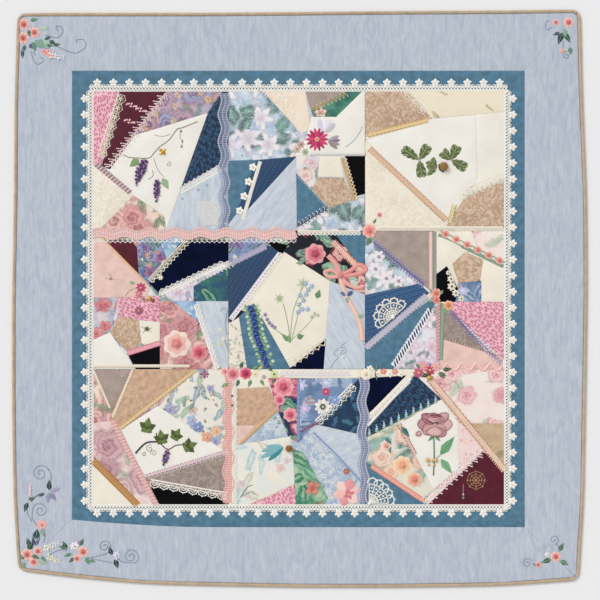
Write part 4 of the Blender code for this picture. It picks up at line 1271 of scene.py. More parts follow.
def sew_trim(name, make, pitch, width, path, tones, kind=Work.FLOSS, lift=TRIM_LIFT):
    """Sews a trim on. One with a solid of its own name takes its place."""
    length = sum(math.dist(start, end) for start, end in zip(path, path[1:]))
    fitted = length / max(1, round(length / pitch))
    repeat = Work()
    make(repeat, fitted, width, tones)
    mesh = run_repeats(name, repeat, fitted, path, kind)
    lay_on_quilt(mesh, lift)
    piece = add_object(f"{name}_sewn", mesh)
    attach(piece, "root")
    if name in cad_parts:
        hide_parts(name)
    return piece


CREAM, ECRU, WHITE = "#EFE9DB", "#DDD0B6", "#F6F3EC"
TRIMS = {
    # slot: rows of name, repeat, pitch, width, start, end, colours
    "cream_lace": (
        ("lace_rose_edged_1_1", rosette_lace, 13.6, 13.6, (-262, 302), (-294, 208), CREAM, "#E2DCC0"),
        ("strip_daisy_1_2", daisy_strip, 21.0, 15.0, (-88, 118), (-62, 204), "#E9E4D6", WHITE, "#E3C88C"),
        ("lace_rosette_upper_1_3", rosette_lace, 14.0, 15.0, (187, 275), (152, 308), CREAM, "#EBDDD0"),
        ("lace_rosette_lower_1_3", rosette_lace, 14.0, 16.0, (303, 180), (235, 151), CREAM, "#EFE6D6"),
        ("lace_olive_2_1", guipure, 7.5, 10.5, (-166, 84), (-221, 25), "#DFD8C2", "#EFEADA"),
        ("lace_white_2_1", guipure, 9.0, 9.6, (-207, 9), (-113, 53), WHITE, WHITE),
        ("lace_scallop_2_2", guipure, 11.0, 18.0, (37, -61), (-15, -97), CREAM, "#E6DCC6"),
        ("lace_seam_3_2", guipure, 8.0, 8.9, (-29, -110), (75, -110), "#E4DDE2", "#EFEAE6"),
        ("lace_scallop_3_1", guipure, 14.0, 14.0, (-108, -294), (-222, -274), WHITE, WHITE),
        ("lace_beside_braid_3_2", guipure, 9.0, 8.0, (-96, -114), (-96, -303), CREAM, WHITE),
        ("lace_scallop_3_2", guipure, 10.0, 13.3, (82, -130), (27, -185), WHITE, CREAM),
        ("lace_white_1_1", guipure, 7.5, 11.5, (-178, 160), (-118, 194), WHITE, "#F1ECE4"),
        ("lace_narrow_1_2", guipure, 6.0, 8.0, (90, 97), (-3, 97), CREAM, WHITE),
        ("lace_navy_3_3", guipure, 8.0, 9.0, (104, -177), (161, -121), CREAM, WHITE),
        ("lace_strip_2_1", guipure, 8.0, 8.9, (-153, -8), (-121, -104), WHITE, WHITE),
        ("lace_strip_2_2", guipure, 8.0, 8.0, (-84, -14), (-27, 67), CREAM, "#F6F1E4"),
    ),
    "ribbon": (
        ("ribbon_ruched_1_1", ruched, 5.0, 8.9, (-303, 200), (-251, 157), "#D9C2C2", "#7C5E68", "#9C7C84"),
        ("ribbon_tan_1_3", gimp, 6.0, 8.9, (103, 222), (217, 116), "#D0A884", "#EED2B8", "#CE9E7E"),
        ("ribbon_rosebud_3_1", ruched, 5.4, 10.0, (-278, -179), (-212, -306), "#DFA6A8", "#A0A088",
         "#EBC8BE"),
        ("ribbon_ochre_3_1", plain_ribbon, 8.0, 10.4, (-306, -240), (-240, -306), "#BE8E54", "#A87640",
         "#CFA468"),
        ("ribbon_tan_3_3", gimp, 7.0, 11.9, (192, -118), (304, -254), "#D9AE94", "#EFD9C4", "#C58E74"),
        ("ribbon_pink_2_3", plain_ribbon, 6.0, 4.6, (194, 99), (194, 1), "#EBC0B4", "#F5EEE2", "#F5EEE2"),
        ("ribbon_sage_2_3", plain_ribbon, 6.0, 4.6, (200, 99), (200, 1), "#9CA394", "#848C80", "#B4BAA8"),
        ("ribbon_peach_3_3", plain_ribbon, 7.0, 7.4, (106, -248), (183, -299), "#EBA592", "#D98A78",
         "#F6D9CA"),
        ("ribbon_blue_3_2", plain_ribbon, 7.0, 4.4, (-2, -122), (-2, -210), "#6F8FC2", "#8FABD6", "#C9D6EA"),
        ("ribbon_green_2_3", plain_ribbon, 8.0, 6.0, (212, -8), (209, -91), "#8FA58E", "#77907A", "#B9C7B0"),
        ("ribbon_jacquard_2_1", plain_ribbon, 6.0, 8.0, (-255, -81), (-207, -66), "#E9A0AC", "#D67A90",
         "#F6DCD8"),
    ),
    # Lilac net bands: the darker band colour and the paler stitch colours are partly painted shade and
    # painted highlight.
    "lilac_lace": (
        ("lace_lilac_1_1", net_band, 40.0, 17.0, (-112, 303), (-112, 100), "#707C9A", "#ABB5C8", "#C0C5D4"),
        ("lace_lilac_3_3", net_band, 46.0, 17.0, (94, -118), (94, -303), "#76809C", "#B2B6CA", "#C6C8D8"),
    ),
    "cord": (
        ("cord_lilac_1_2", twisted_cord, 3.6, 5.0, (15, 214), (97, 214), "#E9E4DC", "#A8A3B4"),
        ("cord_seam_3_1", twisted_cord, 4.0, 5.5, (-306, -100), (-163, -100), "#F0E7D3", "#C9B898"),
        ("cord_cream_1_3", twisted_cord, 4.0, 4.6, (116, 105), (301, 105), "#F2EADB", "#DCCBB0"),
        ("piping_gold_2_1", twisted_cord, 3.0, 3.4, (-302, 99), (-226, 22), "#E6B98C", "#F2D9A8"),
        ("cord_ochre_3_2", twisted_cord, 4.0, 5.9, (-87, -214), (-34, -164), "#D2A878", "#F0DDBA"),
        ("cord_left_3_1", twisted_cord, 4.0, 4.2, (-306, -105), (-281, -162), "#F0E7D3", "#CDBB9A"),
        ("cord_right_3_1", twisted_cord, 4.0, 4.2, (-247, -105), (-277, -176), "#F0E7D3", "#CDBB9A"),
        ("cord_white_3_3", twisted_cord, 4.0, 5.0, (101, -188), (165, -118), "#F1EEE6", "#C9C4C0"),
    ),
    "gold_braid": (
        ("braid_gold_1_3", gimp, 6.0, 7.4, (101, 242), (190, 264), "#DDB67C", "#F3E0B4", "#C9984F"),
        ("lace_gold_1_2", guipure, 6.0, 10.0, (65, 208), (83, 146), "#D6B585", "#EBD6AE"),
        ("braid_olive_1_3", gimp, 5.0, 7.4, (229, 139), (222, 112), "#C8B878", "#EFE6C0", "#A99A5C"),
        ("braid_tan_3_1", gimp, 6.0, 7.0, (-155, -106), (-266, -192), "#D3AE7C", "#F2E0B6", "#B58C58"),
    ),
    "braid": (
        ("braid_lilac_2_2", gimp, 6.0, 8.9, (-101, 52), (-50, 77), "#A9A6BE", "#C7C2D6", "#B9B3CC"),
        ("braid_white_2_2", plain_ribbon, 5.0, 7.4, (-102, -31), (-29, 67), "#F1E9EE", "#F7F4F4", "#16151C"),
        ("braid_pink_2_2", gimp, 6.5, 10.4, (49, 84), (93, 39), "#E9A592", "#F6D8C8", "#D98878"),
        ("braid_lilac_2_3", gimp, 5.5, 10.4, (98, -73), (188, 4), "#8A90A6", "#D6D4DE", "#C2BAC6"),
        ("braid_navy_2_3", herringbone, 5.2, 9.4, (139, -100), (194, -16), "#EEF0F4", "#151B3E", WHITE),
        ("braid_pink_2_3", rick_rack, 5.0, 8.9, (205, -8), (205, -91), "#C9989E", "#E6C3C0"),
        # The pink net band's darker band and paler stitches are partly painted shade and painted highlight.
        ("braid_pink_3_2", net_band, 38.0, 16.0, (-106, -112), (-106, -303), "#DF9A94", "#F5D4CC",
         "#EFC2BA"),
        ("rick_rack_3_3", rick_rack, 20.0, 17.0, (214, -101), (299, -101), "#EDB9B4", "#F8DDD6"),
        ("braid_violet_3_1", gimp, 6.0, 6.0, (-228, -263), (-106, -226), "#C9A0B0", "#F1E8E4", "#B88C9E"),
        ("braid_maroon_3_3", gimp, 5.0, 6.6, (147, -186), (171, -231), "#C98A8A", "#F1DCCB", "#9C4C5C"),
    ),
    "block_cotton": (
        ("stitches_pink_1_1", feather_stitch, 10.0, 12.0, (-199, 303), (-283, 194), "#F1DADB", "#F6ECEA"),
        ("stitches_blue_1_2", blanket_stitch, 4.4, 5.0, (-60, 312), (2, 238), "#8FA3BE", "#A9B9CE"),
        ("stitches_gold_1_2", feather_stitch, 6.0, 6.0, (18, 280), (70, 303), "#C9A878", "#EAD6A8"),
        ("stitches_navy_1_2", feather_stitch, 6.0, 8.0, (-1, 108), (40, 133), "#26325C", "#F3E9EC"),
        ("stitches_blue_2_3", feather_stitch, 5.0, 8.0, (110, 83), (184, 20), "#5560A8", "#A9A4D6"),
        ("stitches_indigo_2_3", feather_stitch, 5.0, 6.5, (222, -20), (298, -96), "#6064B4", "#B89AC8"),
        ("stitches_white_3_3", feather_stitch, 10.0, 12.0, (184, -303), (273, -223), "#F3DFDC", "#F6ECEA"),
        ("stitches_white_2_1", feather_stitch, 6.0, 8.0, (-208, 4), (-100, 52), "#F4F1EA", "#F4F1EA"),
        ("stitches_teal_1_2", blanket_stitch, 4.0, 4.0, (-2, 181), (40, 136), "#6F94AC", "#C9D6DE"),
        ("stitches_green_3_3", blanket_stitch, 5.0, 4.4, (103, -209), (145, -189), "#D9B45C", "#EAD9A0"),
        ("beads_1_2", bead_line, 4.0, 1.7, (30, 179), (60, 178), "#9FB4D6", "#F4F1EA"),
        ("beads_2_3", bead_line, 4.6, 2.0, (214, -59), (297, -85), "#B98C6C", "#F6EFE4"),
        ("beads_3_1", bead_line, 5.0, 1.9, (-225, -267), (-106, -230), "#F6F1EA", "#F6F1EA"),
        ("beads_black_2_1", bead_line, 4.0, 1.7, (-246, -98), (-207, -98), "#F6F1EA", "#F6F1EA"),
    ),
}
for slot_name, rows in TRIMS.items():
    for name, make, pitch, width, start, end, *tones in rows:
        kind = Work.GLASS if make is bead_line else Work.FLOSS
        sew_trim(name, make, pitch, width, (start, end), tones, kind)

# Seam lace between the first and second rows: two layers, pink scallops above and cream points below, in one
# length.
FIRST_SEAM = 93
SECOND_LAYER = 0.5 * MM
for name, make, pitch, width, shift, tones, slot_name in (
    ("lace_seam_pink_2_1", guipure, 7.4, 11.0, -6.0, (CREAM, WHITE), "pink_lace"),
    # The pink net band's darker band and paler stitches are partly painted shade and painted highlight.
    ("lace_pink_upper", net_band, 37.0, 17.0, 3.0, ("#E2ACA8", "#F8E4DF", "#F3D2CE"), "pink_lace"),
):
    path = ((-306, FIRST_SEAM + shift), (-5, FIRST_SEAM + shift))
    under = shift < 0
    lift = TRIM_LIFT if under else TRIM_LIFT + SECOND_LAYER
    sew_trim(name, make, pitch, width, path[::-1] if under else path, tones, lift=lift)

# Daisy lace: cream crochet round the blocks, a braided band with five-petalled daisies on short necks along
# its outer edge, 26 to a side. Four lengths, mitred at the corners.
DAISY_PITCH = 23.83
DAISY_TONES = ("#F1EFE7", "#F8F6F1", "#E6DFCC")  # band, petals, knot
FIELD_EDGES = {"top": 306.2, "right": 302.3, "bottom": -304.7, "left": -304.9}
DAISY_FIRST, DAISY_LAST = -299.7, 296.0
BAND_WIDTH = 8.9
DAISY_LIFT = 0.35 * MM


def daisy_lace():
    """A length of the band with one daisy. Its outer side is +Y."""
    work = Work()
    band, daisy, knot = DAISY_TONES
    for across in (0.9, BAND_WIDTH - 0.9):
        work.tape(DAISY_PITCH, 1.5, band, 0.9, across)
    for turn in range(5):
        x, crossing = (turn / 5 - 0.5) * DAISY_PITCH, DAISY_PITCH / 5
        work.thread([(x, 1.4), (x + crossing, BAND_WIDTH - 1.4)], 1.8, band, 0.2)
        work.thread([(x, BAND_WIDTH - 1.4), (x + crossing, 1.4)], 1.8, daisy, 0.3)
    for turn in range(-2, 3):
        if turn:
            work.thread(arc(turn * 4.4, BAND_WIDTH, 1.9, 0, 180, 5), 1.2, band)
    middle = BAND_WIDTH + 4.4
    work.thread([(0, BAND_WIDTH - 0.5), (0, middle)], 2.4, band)
    for petal in range(5):
        angle = 90 + petal * 72
        x, y = point_at(0, middle, 3.3, angle)
        work.petal(*point_at(0, middle, 0.4, angle), angle, 6.0, 4.6, daisy, 0.3, 0.8)
        work.bead(x, y, 1.3, daisy, 0.5)
    work.bead(0, middle, 1.2, knot, 1.0)
    return work


for side, edge in FIELD_EDGES.items():
    runs = (DAISY_FIRST - DAISY_PITCH / 2, DAISY_LAST + DAISY_PITCH / 2)
    if side in ("bottom", "right"):
        runs = runs[::-1]
    path = [(run, edge) if side in ("top", "bottom") else (edge, run) for run in runs]
    mesh = run_repeats(f"lace_daisy_{side}", daisy_lace(), DAISY_PITCH, path)
    lay_on_quilt(mesh, DAISY_LIFT)
    piece = add_object(f"lace_daisy_{side}_sewn", mesh)
    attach(piece, "root")
    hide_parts(f"lace_daisy_{side}")

# Embroidery: stems, leaves, flowers, grapes and charms, worked by hand in floss, ribbon and beads on the
# patches of each block and on the border's corners. They lie over the patches' puff.
STITCH_LIFT = 1.25 * MM
ROSE_LIFT = 1.6 * MM
BROWN, MOSS, FOREST = "#6B5648", "#5C7A48", "#24483C"
PLUM, PINK, ROSE, PEACH, GOLD = "#5B3B6B", "#E8A2AA", "#C65C7C", "#F0B8A6", "#C9A24E"


def bend(*points, steps=5):
    """A smooth curve through a few points."""
    ends = [points[0], *points, points[-1]]
    path = []
    for before, start, end, after in zip(ends, ends[1:], ends[2:], ends[3:]):
        for step in range(steps):
            t = step / steps
            path.append(
                tuple(
                    b
                    + 0.5 * (c - a) * t
                    + 0.5 * (2 * a - 5 * b + 4 * c - d) * t**2
                    + 0.5 * (3 * b - a - 3 * c + d) * t**3
                    for a, b, c, d in zip(before, start, end, after)
                )
            )
    return path + [points[-1]]


def curl(x, y, radius, start, turns):
    """A spiral tendril that winds in to a point. A negative number of turns winds clockwise."""
    steps = max(6, int(abs(turns) * 14))
    path = []
    for step in range(steps + 1):
        angle = math.radians(start) + 2 * math.pi * turns * step / steps
        reach = radius * (1 - 0.85 * step / steps)
        path.append((x + reach * math.cos(angle), y + reach * math.sin(angle)))
    return path


def grapes(work, x, y, x_end, y_end, width, tones):
    """A hanging bunch: rows of knots, broad at the shoulder and narrow at the tip."""
    count = max(3, round(math.dist((x, y), (x_end, y_end)) / 2.8))
    for row in range(count):
        along = row / (count - 1)
        across = max(1, round(math.sin(math.pi * (0.22 + 0.74 * along)) * width / 3.2))
        for place in range(across):
            shift = (place - (across - 1) / 2) * 3.1 + 1.1 * (row % 2) - 0.5
            spot = (x + (x_end - x) * along + shift, y + (y_end - y) * along + 0.7 * (place % 2))
            work.bead(*spot, 1.9, tones[(row + place) % len(tones)], 0.3 * (place % 2), Work.GLASS)


def ivy(work, x, y, radius, angle, tones):
    """An ivy leaf: five points round its stalk."""
    for turn, share in ((125, 0.6), (-125, 0.6), (60, 0.85), (-60, 0.85), (0, 1.0)):
        work.leaf(x, y, angle + turn, radius * share, radius * 0.66, tones[abs(turn) // 60 % 2], tones[2])


def embroider(
    name, threads=(), leaves=(), flowers=(), roses=(), beads=(), others=None,
    lift=STITCH_LIFT,
):
    """Works a group of motifs and lays it on the quilt. In mm and degrees, rows give: a thread's path, width
    and colour; a leaf's foot, angle, length, width and colours; a flower's middle, radius, petals and
    colours; a rose's middle, radius and colours; and a bead's middle, radius, colour and kind."""
    work = Work()
    for row in threads:
        work.thread(*row)
    for row in leaves:
        work.leaf(*row)
    for row in flowers:
        work.flower(*row)
    for row in roses:
        work.rose(*row)
    for x, y, radius, tone, kind in beads:
        work.bead(x, y, radius, tone, 0.2, kind)
    if others:
        others(work)
    mesh = work_mesh(name, work)
    lay_on_quilt(mesh, lift)
    piece = add_object(name, mesh)
    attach(piece, "root")
    return piece


def vine_1_1(work):
    # The paler lilac among the grapes' plum tones is partly a painted highlight on the beads.
    grapes(work, -230, 204, -242, 168, 15, (PLUM, "#A486B8", "#4E345E", "#7C5890"))
    grapes(work, -211, 174, -212, 144, 11, (PLUM, "#A486B8", "#4E345E", "#7C5890"))
    for x, y in ((-249, 287), (-235, 280), (-252, 263)):
        for petal in range(7):
            side = 2.2 * (petal % 2) - 1.1
            angle = 60 - 35 * (petal % 3)
            work.petal(x - 8 + petal * 2.4, y - petal * 0.6 + side, angle, 4.2, 2.6, "#F2BFC6", 0.2)
    for turn in range(4):
        work.petal(-203, 217, 45 + turn * 90, 6.4, 5.0, GOLD, 0.2, 0.8, Work.GOLD)
    for row in range(6):
        for step in range(6):
            x, y = -150 + step * 6.4 + 3.2 * (row % 2), 141 - row * 6.0
            if x < -121 and x + y / 2 > -88:
                work.thread(arc(x, y, 2.9, 0, 360, 7), 1.2, "#E9E8E6")
                work.flower(x, y, 2.4, 5, "#E6E2DC", "#D3D6DA")


embroider(
    "embroidery_1_1",
    threads=(
        (bend((-261, 213), (-253, 209), (-241, 208), (-223, 208), (-215, 216), (-207, 225)), 1.1, BROWN),
        (bend((-207, 225), (-193, 235), (-182, 250), (-173, 253), (-151, 262)), 1.1, BROWN),
        (bend((-215, 242), (-203, 240), (-192, 243)), 0.8, "#A3938A"),
        (bend((-216, 208), (-213, 198), (-209, 189), (-201, 180)), 1.0, "#B79C94"),
        (curl(-194, 199, 4.2, 90, -1.2), 0.7, "#6E6672"),
        (bend((-218, 190), (-217, 182), (-224, 176)), 0.8, "#5A5266"),
        (bend((-176, 247), (-177, 238), (-173, 233), (-175, 226)), 0.7, "#6E6672"),
    ),
    leaves=((-238, 206, 218, 18, 12, "#7E9E68"), (-203, 178, -62, 19, 11, "#9CB48E")),
    beads=(
        (-203, 217, 2.6, GOLD, Work.GOLD), (-176, 248, 1.5, "#5A5A7A", Work.GLASS),
        (-174, 233, 1.3, "#5A5A7A", Work.GLASS), (-175, 225, 1.6, "#6E7A8C", Work.GLASS),
        (-138, 168, 1.2, "#7E96AE", Work.GLASS), (-150, 161, 1.2, "#7E96AE", Work.GLASS),
        (-174, 148, 1.2, "#7E96AE", Work.GLASS),
    ),
    others=vine_1_1,
)


def daisies_1_2(work):
    for petal in range(14):
        tone = ("#C23A66", "#D9477A", "#A82E58")[petal % 3]
        work.petal(25.7, 235.5, petal * 360 / 14, 17.5, 5.2, tone, 0.3 * (petal % 2), 0.8)
    for turn in range(6):
        spot = point_at(25.7, 235.5, 2.6, turn * 60)
        work.bead(*spot, 1.5, "#F0B8A2", 0.8)
    work.bead(25.7, 235.5, 1.8, "#E9A08C", 1.2)
    for angle, tone in ((62, "#E4DFEA"), (88, "#F1EEF2"), (112, "#D9D2E2"), (38, "#CFC4CE")):
        work.petal(36, 246, angle, 21, 11, tone, 0.1, 0.7)
    for angle, tone in ((-18, "#A8909E"), (4, "#8C7C94"), (26, "#B4A2AC"), (-40, "#9A8E7E")):
        work.petal(42, 233, angle, 18, 6.5, tone, 0.1, 0.6)
    for x, y, tone in ((2, 228, "#C9A894"), (-4, 221, "#D9B8A6"), (8, 217, "#B0C0A8")):
        work.flower(x, y, 5.5, 6, tone, "#8C7C6C")


daisy_piece = embroider(
    "flower_magenta_cluster", threads=((bend((92, 255), (90, 248), (80, 234), (68, 224)), 0.8, "#8E9C8A"),),
    others=daisies_1_2,
)
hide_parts("flower_magenta_1_2")


def acorn_1_3(work):
    for x, y, tips in (
        (177, 205, ((152, 222), (190, 226), (181, 180))),
        (224, 205, ((212, 216), (233, 225), (246, 193))),
        (202, 191, ((194, 203), (193, 190))),
    ):
        for tip_x, tip_y in tips:
            length = math.dist((x, y), (tip_x, tip_y))
            angle = math.degrees(math.atan2(tip_y - y, tip_x - x))
            for side in (-1, 1):
                for barb in range(1, 6):
                    spot = point_at(x, y, length * barb / 6, angle)
                    reach = 12.0 * math.sin(math.pi * (barb + 0.6) / 7)
                    tone = ("#4F6136", "#8C9668")[barb % 2]
                    work.petal(*spot, angle + side * 42, reach, 5.0, tone, 0.0, 0.3)
            work.leaf(x, y, angle, length, 8.5, "#5C6B3E", "#D6D8B0", 0.3)
    for ring, (radius, tone) in enumerate(((7.4, "#8C6A2E"), (5.4, "#CBA65A"), (3.2, "#EBD08E"))):
        work.bead(213, 195, radius, tone, 0.2 + 0.1 * ring, Work.GOLD if ring else 0)
    for turn in range(5):
        work.bead(*point_at(213, 195, 6.6, 160 + turn * 25), 1.8, "#2A2622", 0.8)


embroider(
    "embroidery_1_3", leaves=((109, 111, 60, 9, 4, "#3F6A48"),),
    roses=((118, 124, 5.0, ("#F6DCD6", PINK, "#D9788C")),), others=acorn_1_3,
)
embroider(
    "embroidery_2_1",
    threads=(
        (bend((-283, 38), (-279, 33), (-276, 28)), 0.6, "#A08888"),
        (bend((-288, 30), (-280, 29), (-262, 27)), 0.6, "#C9A8A0"),
        (bend((-258, 4), (-250, 13), (-236, 15)), 0.9, "#9CB08C"),
        (bend((-118, -20), (-113, -14), (-107, -19), (-110, -34), (-108, -54)), 0.8, "#8A99A8"),
        (bend((-112, -60), (-108, -70), (-100, -84)), 0.8, "#8A99A8"),
        (bend((-235, -41), (-226, -46), (-218, -43)), 0.5, "#4A4A32"),
        (bend((-232, -51), (-226, -45), (-219, -50)), 0.5, "#4A4A32"),
    ),
    leaves=((-252, 24, -10, 9, 6, "#8FAF8C"), (-228, -3, 150, 7, 4, MOSS)),
    flowers=(
        (-235, 16, 8, 8, "#B8486E", "#E8A2AA"), (-238, 7, 6, 7, "#D9798C", "#F0C8BE"),
        (-238, -18, 7.5, 9, "#A85C78", "#D9B45C"), (-203, -15, 5, 7, "#C77A8E", "#E8C8A2"),
        (-226, -45, 4.2, 5, "#6E6E3E", "#3A3A22"), (-117, -47, 3.6, 5, "#E3E0B8", "#F4F0DC"),
        (-113, -60, 4.2, 5, "#E9E4C8", "#F4F0DC"), (-118, -68, 3.4, 5, "#D6D9AC", "#F4F0DC"),
        (-206, 31, 4.0, 6, "#F0EBDC", "#E3D6B0"),
    ),
    roses=(
        (-182, -67, 21, ("#F4DCD0", "#F0BDB0", "#E08F8C")),
        (-149, -80, 12, ("#E9929A", "#D86C7C", "#C24C66")),
    ),
    beads=(
        (-222, 0, 3.8, GOLD, Work.GOLD), (-217, -3, 2.4, "#7A5A22", Work.GOLD),
        (-280, 29, 1.4, "#5C5458", 0),
    ),
)


def sprig_2_2(work):
    """A generic sprig of small blue flowers, not the photo's botanical panel."""
    for x, y, radius in ((-30, 0, 9), (5, 22, 11)):
        for barb in range(13):
            work.petal(x, y, barb * 27.7, radius * (0.7 + 0.3 * (barb % 2)), 1.3, "#A9B58C", 0.0, 0.25)
    for x, y in (
        (-1, -9), (6, -3), (1, 4), (10, 6), (13, 13), (18, 18), (4, -16), (9, 22), (-2, -20), (12, -16)
    ):
        work.flower(x, y, 4.2, 5, "#A3B8D0", "#E9EBD8")
    for x, y in ((-45, -36), (-41, -40), (-48, -31), (-37, -43), (-51, -24)):
        work.flower(x, y, 3.2, 5, "#8C7FA8", "#D9C4B8")
    for x, y in ((22, -22), (27, -25), (18, -27)):
        work.flower(x, y, 2.8, 5, "#B9BFA4", "#E9E4C8")
    # The bow: each ribbon is a broad thread with a narrow paler thread along its ridge, which is a painted
    # highlight.
    for points, width, tone, shine in (
        ([(60, 34), (54, 50), (42, 64)], 7.5, "#E8A09A", "#F2C0B6"),
        ([(60, 34), (76, 42), (88, 50), (98, 43), (84, 36), (62, 33)], 6.5, "#E2908A", "#F0B8AE"),
        ([(59, 34), (48, 42), (37, 39), (44, 32), (58, 33)], 5.5, "#EBA8A0", "#F6CFC4"),
        ([(60, 34), (64, 16), (73, -4), (82, -20), (90, -40), (93, -62)], 7.0, "#F0C0AA", "#F8E0D2"),
        ([(61, 34), (70, 22), (84, 16), (95, 19)], 5.5, "#EBA8A0", "#F6CFC4"),
    ):
        work.thread(bend(*points), width, tone, 0.3, height=1.0)
        work.thread(bend(*points), width * 0.24, shine, 1.1)
    work.bead(60, 34, 4.4, "#DB8E88", 0.8)
    vine = bend((-73, -12), (-67, -34), (-64, -57), (-58, -72), (-49, -99), steps=8)
    for index, (x, y) in enumerate(vine):
        for side in (-1, 0, 1):
            tone = ("#24337A", "#3A53A4", "#5670B8")[(index + side) % 3]
            work.bead(x + 2.4 * side, y + 1.2 * (index % 2), 2.0, tone, 0.4 * (side == 0), Work.GLASS)
        if index % 3 == 1:
            for side in (-1, 1):
                work.petal(x + side * 3, y, 90 - side * 62, 10, 3.2, "#6E9A7C", 0.1, 0.4)
                work.petal(x + side * 3, y, 90 - side * 100, 8, 3.0, "#8FAF7C", 0.1, 0.4)
                work.flower(x + side * 10, y + 4, 2.9, 5, ("#B9CBA0", "#DCE4C4")[index % 2], "#F0F0D2")
    for x, y, angle, tone in (
        (70, 4, 40, "#4A5F94"), (70, 4, 150, "#5F74A6"), (70, 4, -80, "#7FA08C"), (84, -28, 20, "#9DB49A")
    ):
        work.petal(x, y, angle, 11, 6, tone, 0.8, 0.8)


embroider(
    "embroidery_2_2",
    threads=(
        (bend((-14, -65), (-17, -40), (-24, -8)), 1.0, "#7E9A62"),
        (bend((-14, -65), (-10, -20), (4, 16)), 1.0, "#8CA672"),
        (bend((-12, -62), (-6, -38), (3, -4), (17, 18)), 0.9, "#8CA672"),
        (bend((-11, -60), (8, -42), (24, -24)), 0.8, "#9AAF84"),
        (bend((-16, -62), (-28, -52), (-42, -40)), 0.9, "#7E9A62"),
        (bend((70, -63), (60, -72), (50, -82), (58, -86), (51, -94), (46, -103)), 0.8, "#8A99A8"),
        (curl(64, -78, 6, 120, -1.3), 0.8, "#8A99A8"),
    ),
    leaves=(
        (-15, -64, 135, 18, 7, "#6F9460"), (-14, -66, 105, 13, 6, "#86A672"),
        (-4, -58, 20, 11, 9, "#5E8A60"), (25, 0, 70, 14, 9, "#5E8A60"), (36, 46, -40, 14, 8, "#5C8A6C"),
        (6, 54, 190, 12, 7, "#7FA08A"), (70, 34, -24, 20, 8, "#9CC0A8", "#E9F0E2"),
        (74, 28, -38, 18, 7, "#CFE0D0", "#7FA08A"),
    ),
    roses=((23, 66, 16, ("#E9A2A4", "#DB7E88", "#BA5064")),),
    beads=((59, -80, 1.7, "#F1EEDC", Work.GLASS), (64, -86, 1.7, "#F1EEDC", Work.GLASS)), others=sprig_2_2,
)


def lace_motifs_2_3(work):
    for x, y, radius in ((224, 29, 6), (225, 18, 7), (231, 8, 6), (239, 0, 5), (220, 38, 4)):
        work.flower(x, y, radius, 7, "#EDE6D2", "#2A2622")
    for x, y, tone in ((184, -100, PINK), (193, -106, "#B8486E"), (176, -110, ROSE), (201, -101, "#F0B5B4")):
        work.flower(x, y, 8.5, 8, tone, "#E8C86A")
    for x, y in ((112, 44), (128, 30), (146, 26), (117, 62)):
        work.flower(x, y, 10, 6, "#EDE6E8", "#A98CA8")


embroider(
    "embroidery_2_3",
    leaves=(
        (196, 8, 120, 9, 5, "#7FA594"), (208, 6, 60, 8, 5, "#6F9480"), (198, 0, 220, 9, 5, "#8FB0A2"),
        (214, -14, -70, 9, 5, "#7FA574"), (190, -112, 200, 12, 6, FOREST),
        (205, -110, -20, 14, 6, "#3F5F38"), (178, -102, 140, 9, 5, MOSS), (104, 90, -110, 9, 5, MOSS),
    ),
    roses=(
        (202, 8, 7.5, ("#F2B6A8", "#E99484", "#D9756C")), (202, -2, 6.0, ("#F0A294", "#E78C80", "#D9756C")),
        (220, -10, 7.5, ("#F4BFA0", "#EBA078", "#D98458")),
    ),
    beads=((193, -117, 3.6, GOLD, Work.GOLD), (190, -111, 2.4, "#8C6A2E", Work.GOLD)),
    others=lace_motifs_2_3,
)


def rose_ribbon(work, pitch, width, tones):
    """Green ribbon with a row of small ribbon roses along its upper edge."""
    work.tape(pitch, width * 0.4, tones[0], 0.5, -width * 0.3)
    work.rose(0, width * 0.12, width * 0.46, tones[1:4], 0.4)
    work.leaf(-pitch * 0.2, width * 0.1, 160, width * 0.5, width * 0.3, tones[4], tones[0], 0.3)
    work.leaf(pitch * 0.2, width * 0.1, 20, width * 0.5, width * 0.3, tones[4], tones[0], 0.3)


sew_trim(
    "ribbon_rose_2_3", rose_ribbon, 17.0, 13.0, ((207, 98), (303, 51)),
    ("#8A9C86", "#F3BEB0", "#E8988A", "#D87A70", "#A9BBA0"),
)


def crochet_fan(name, x, y, radius, start, end, scallops):
    """Crochet doily: a knotted middle, spokes, rings of chain and a scalloped rim with picots."""
    work = Work()
    for share, thick in ((0.25, 2.0), (0.5, 1.6), (0.78, 2.2)):
        work.thread(arc(x, y, radius * share, start, end, 18), thick, CREAM)
    step = (end - start) / scallops
    for index in range(scallops + 1):
        spoke = start + index * step
        work.thread([point_at(x, y, radius * s, spoke) for s in (0.0, 0.8)], 1.7, WHITE)
    for index in range(scallops):
        middle = start + (index + 0.5) * step
        for share in (0.36, 0.64):
            work.bead(*point_at(x, y, radius * share, middle), 1.8, CREAM)
        lobe_x, lobe_y = point_at(x, y, radius * 0.84, middle)
        lobe = radius * 0.2
        work.thread(arc(lobe_x, lobe_y, lobe, middle - 100, middle + 100, 8), 2.0, WHITE)
        for tilt in (-50, 0, 50):
            work.bead(*point_at(lobe_x, lobe_y, lobe + 1.2, middle + tilt), 1.1, WHITE)
    work.bead(x, y, 3.0, WHITE)
    mesh = work_mesh(name, work)
    lay_on_quilt(mesh, STITCH_LIFT)
    piece = add_object(f"{name}_crochet", mesh)
    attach(piece, "root")
    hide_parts(name)


crochet_fan("doily_2_3", 138, -27.5, 27, 41, 221, 6)
crochet_fan("doily_3_3", 103, -303, 36, 0, 90, 5)


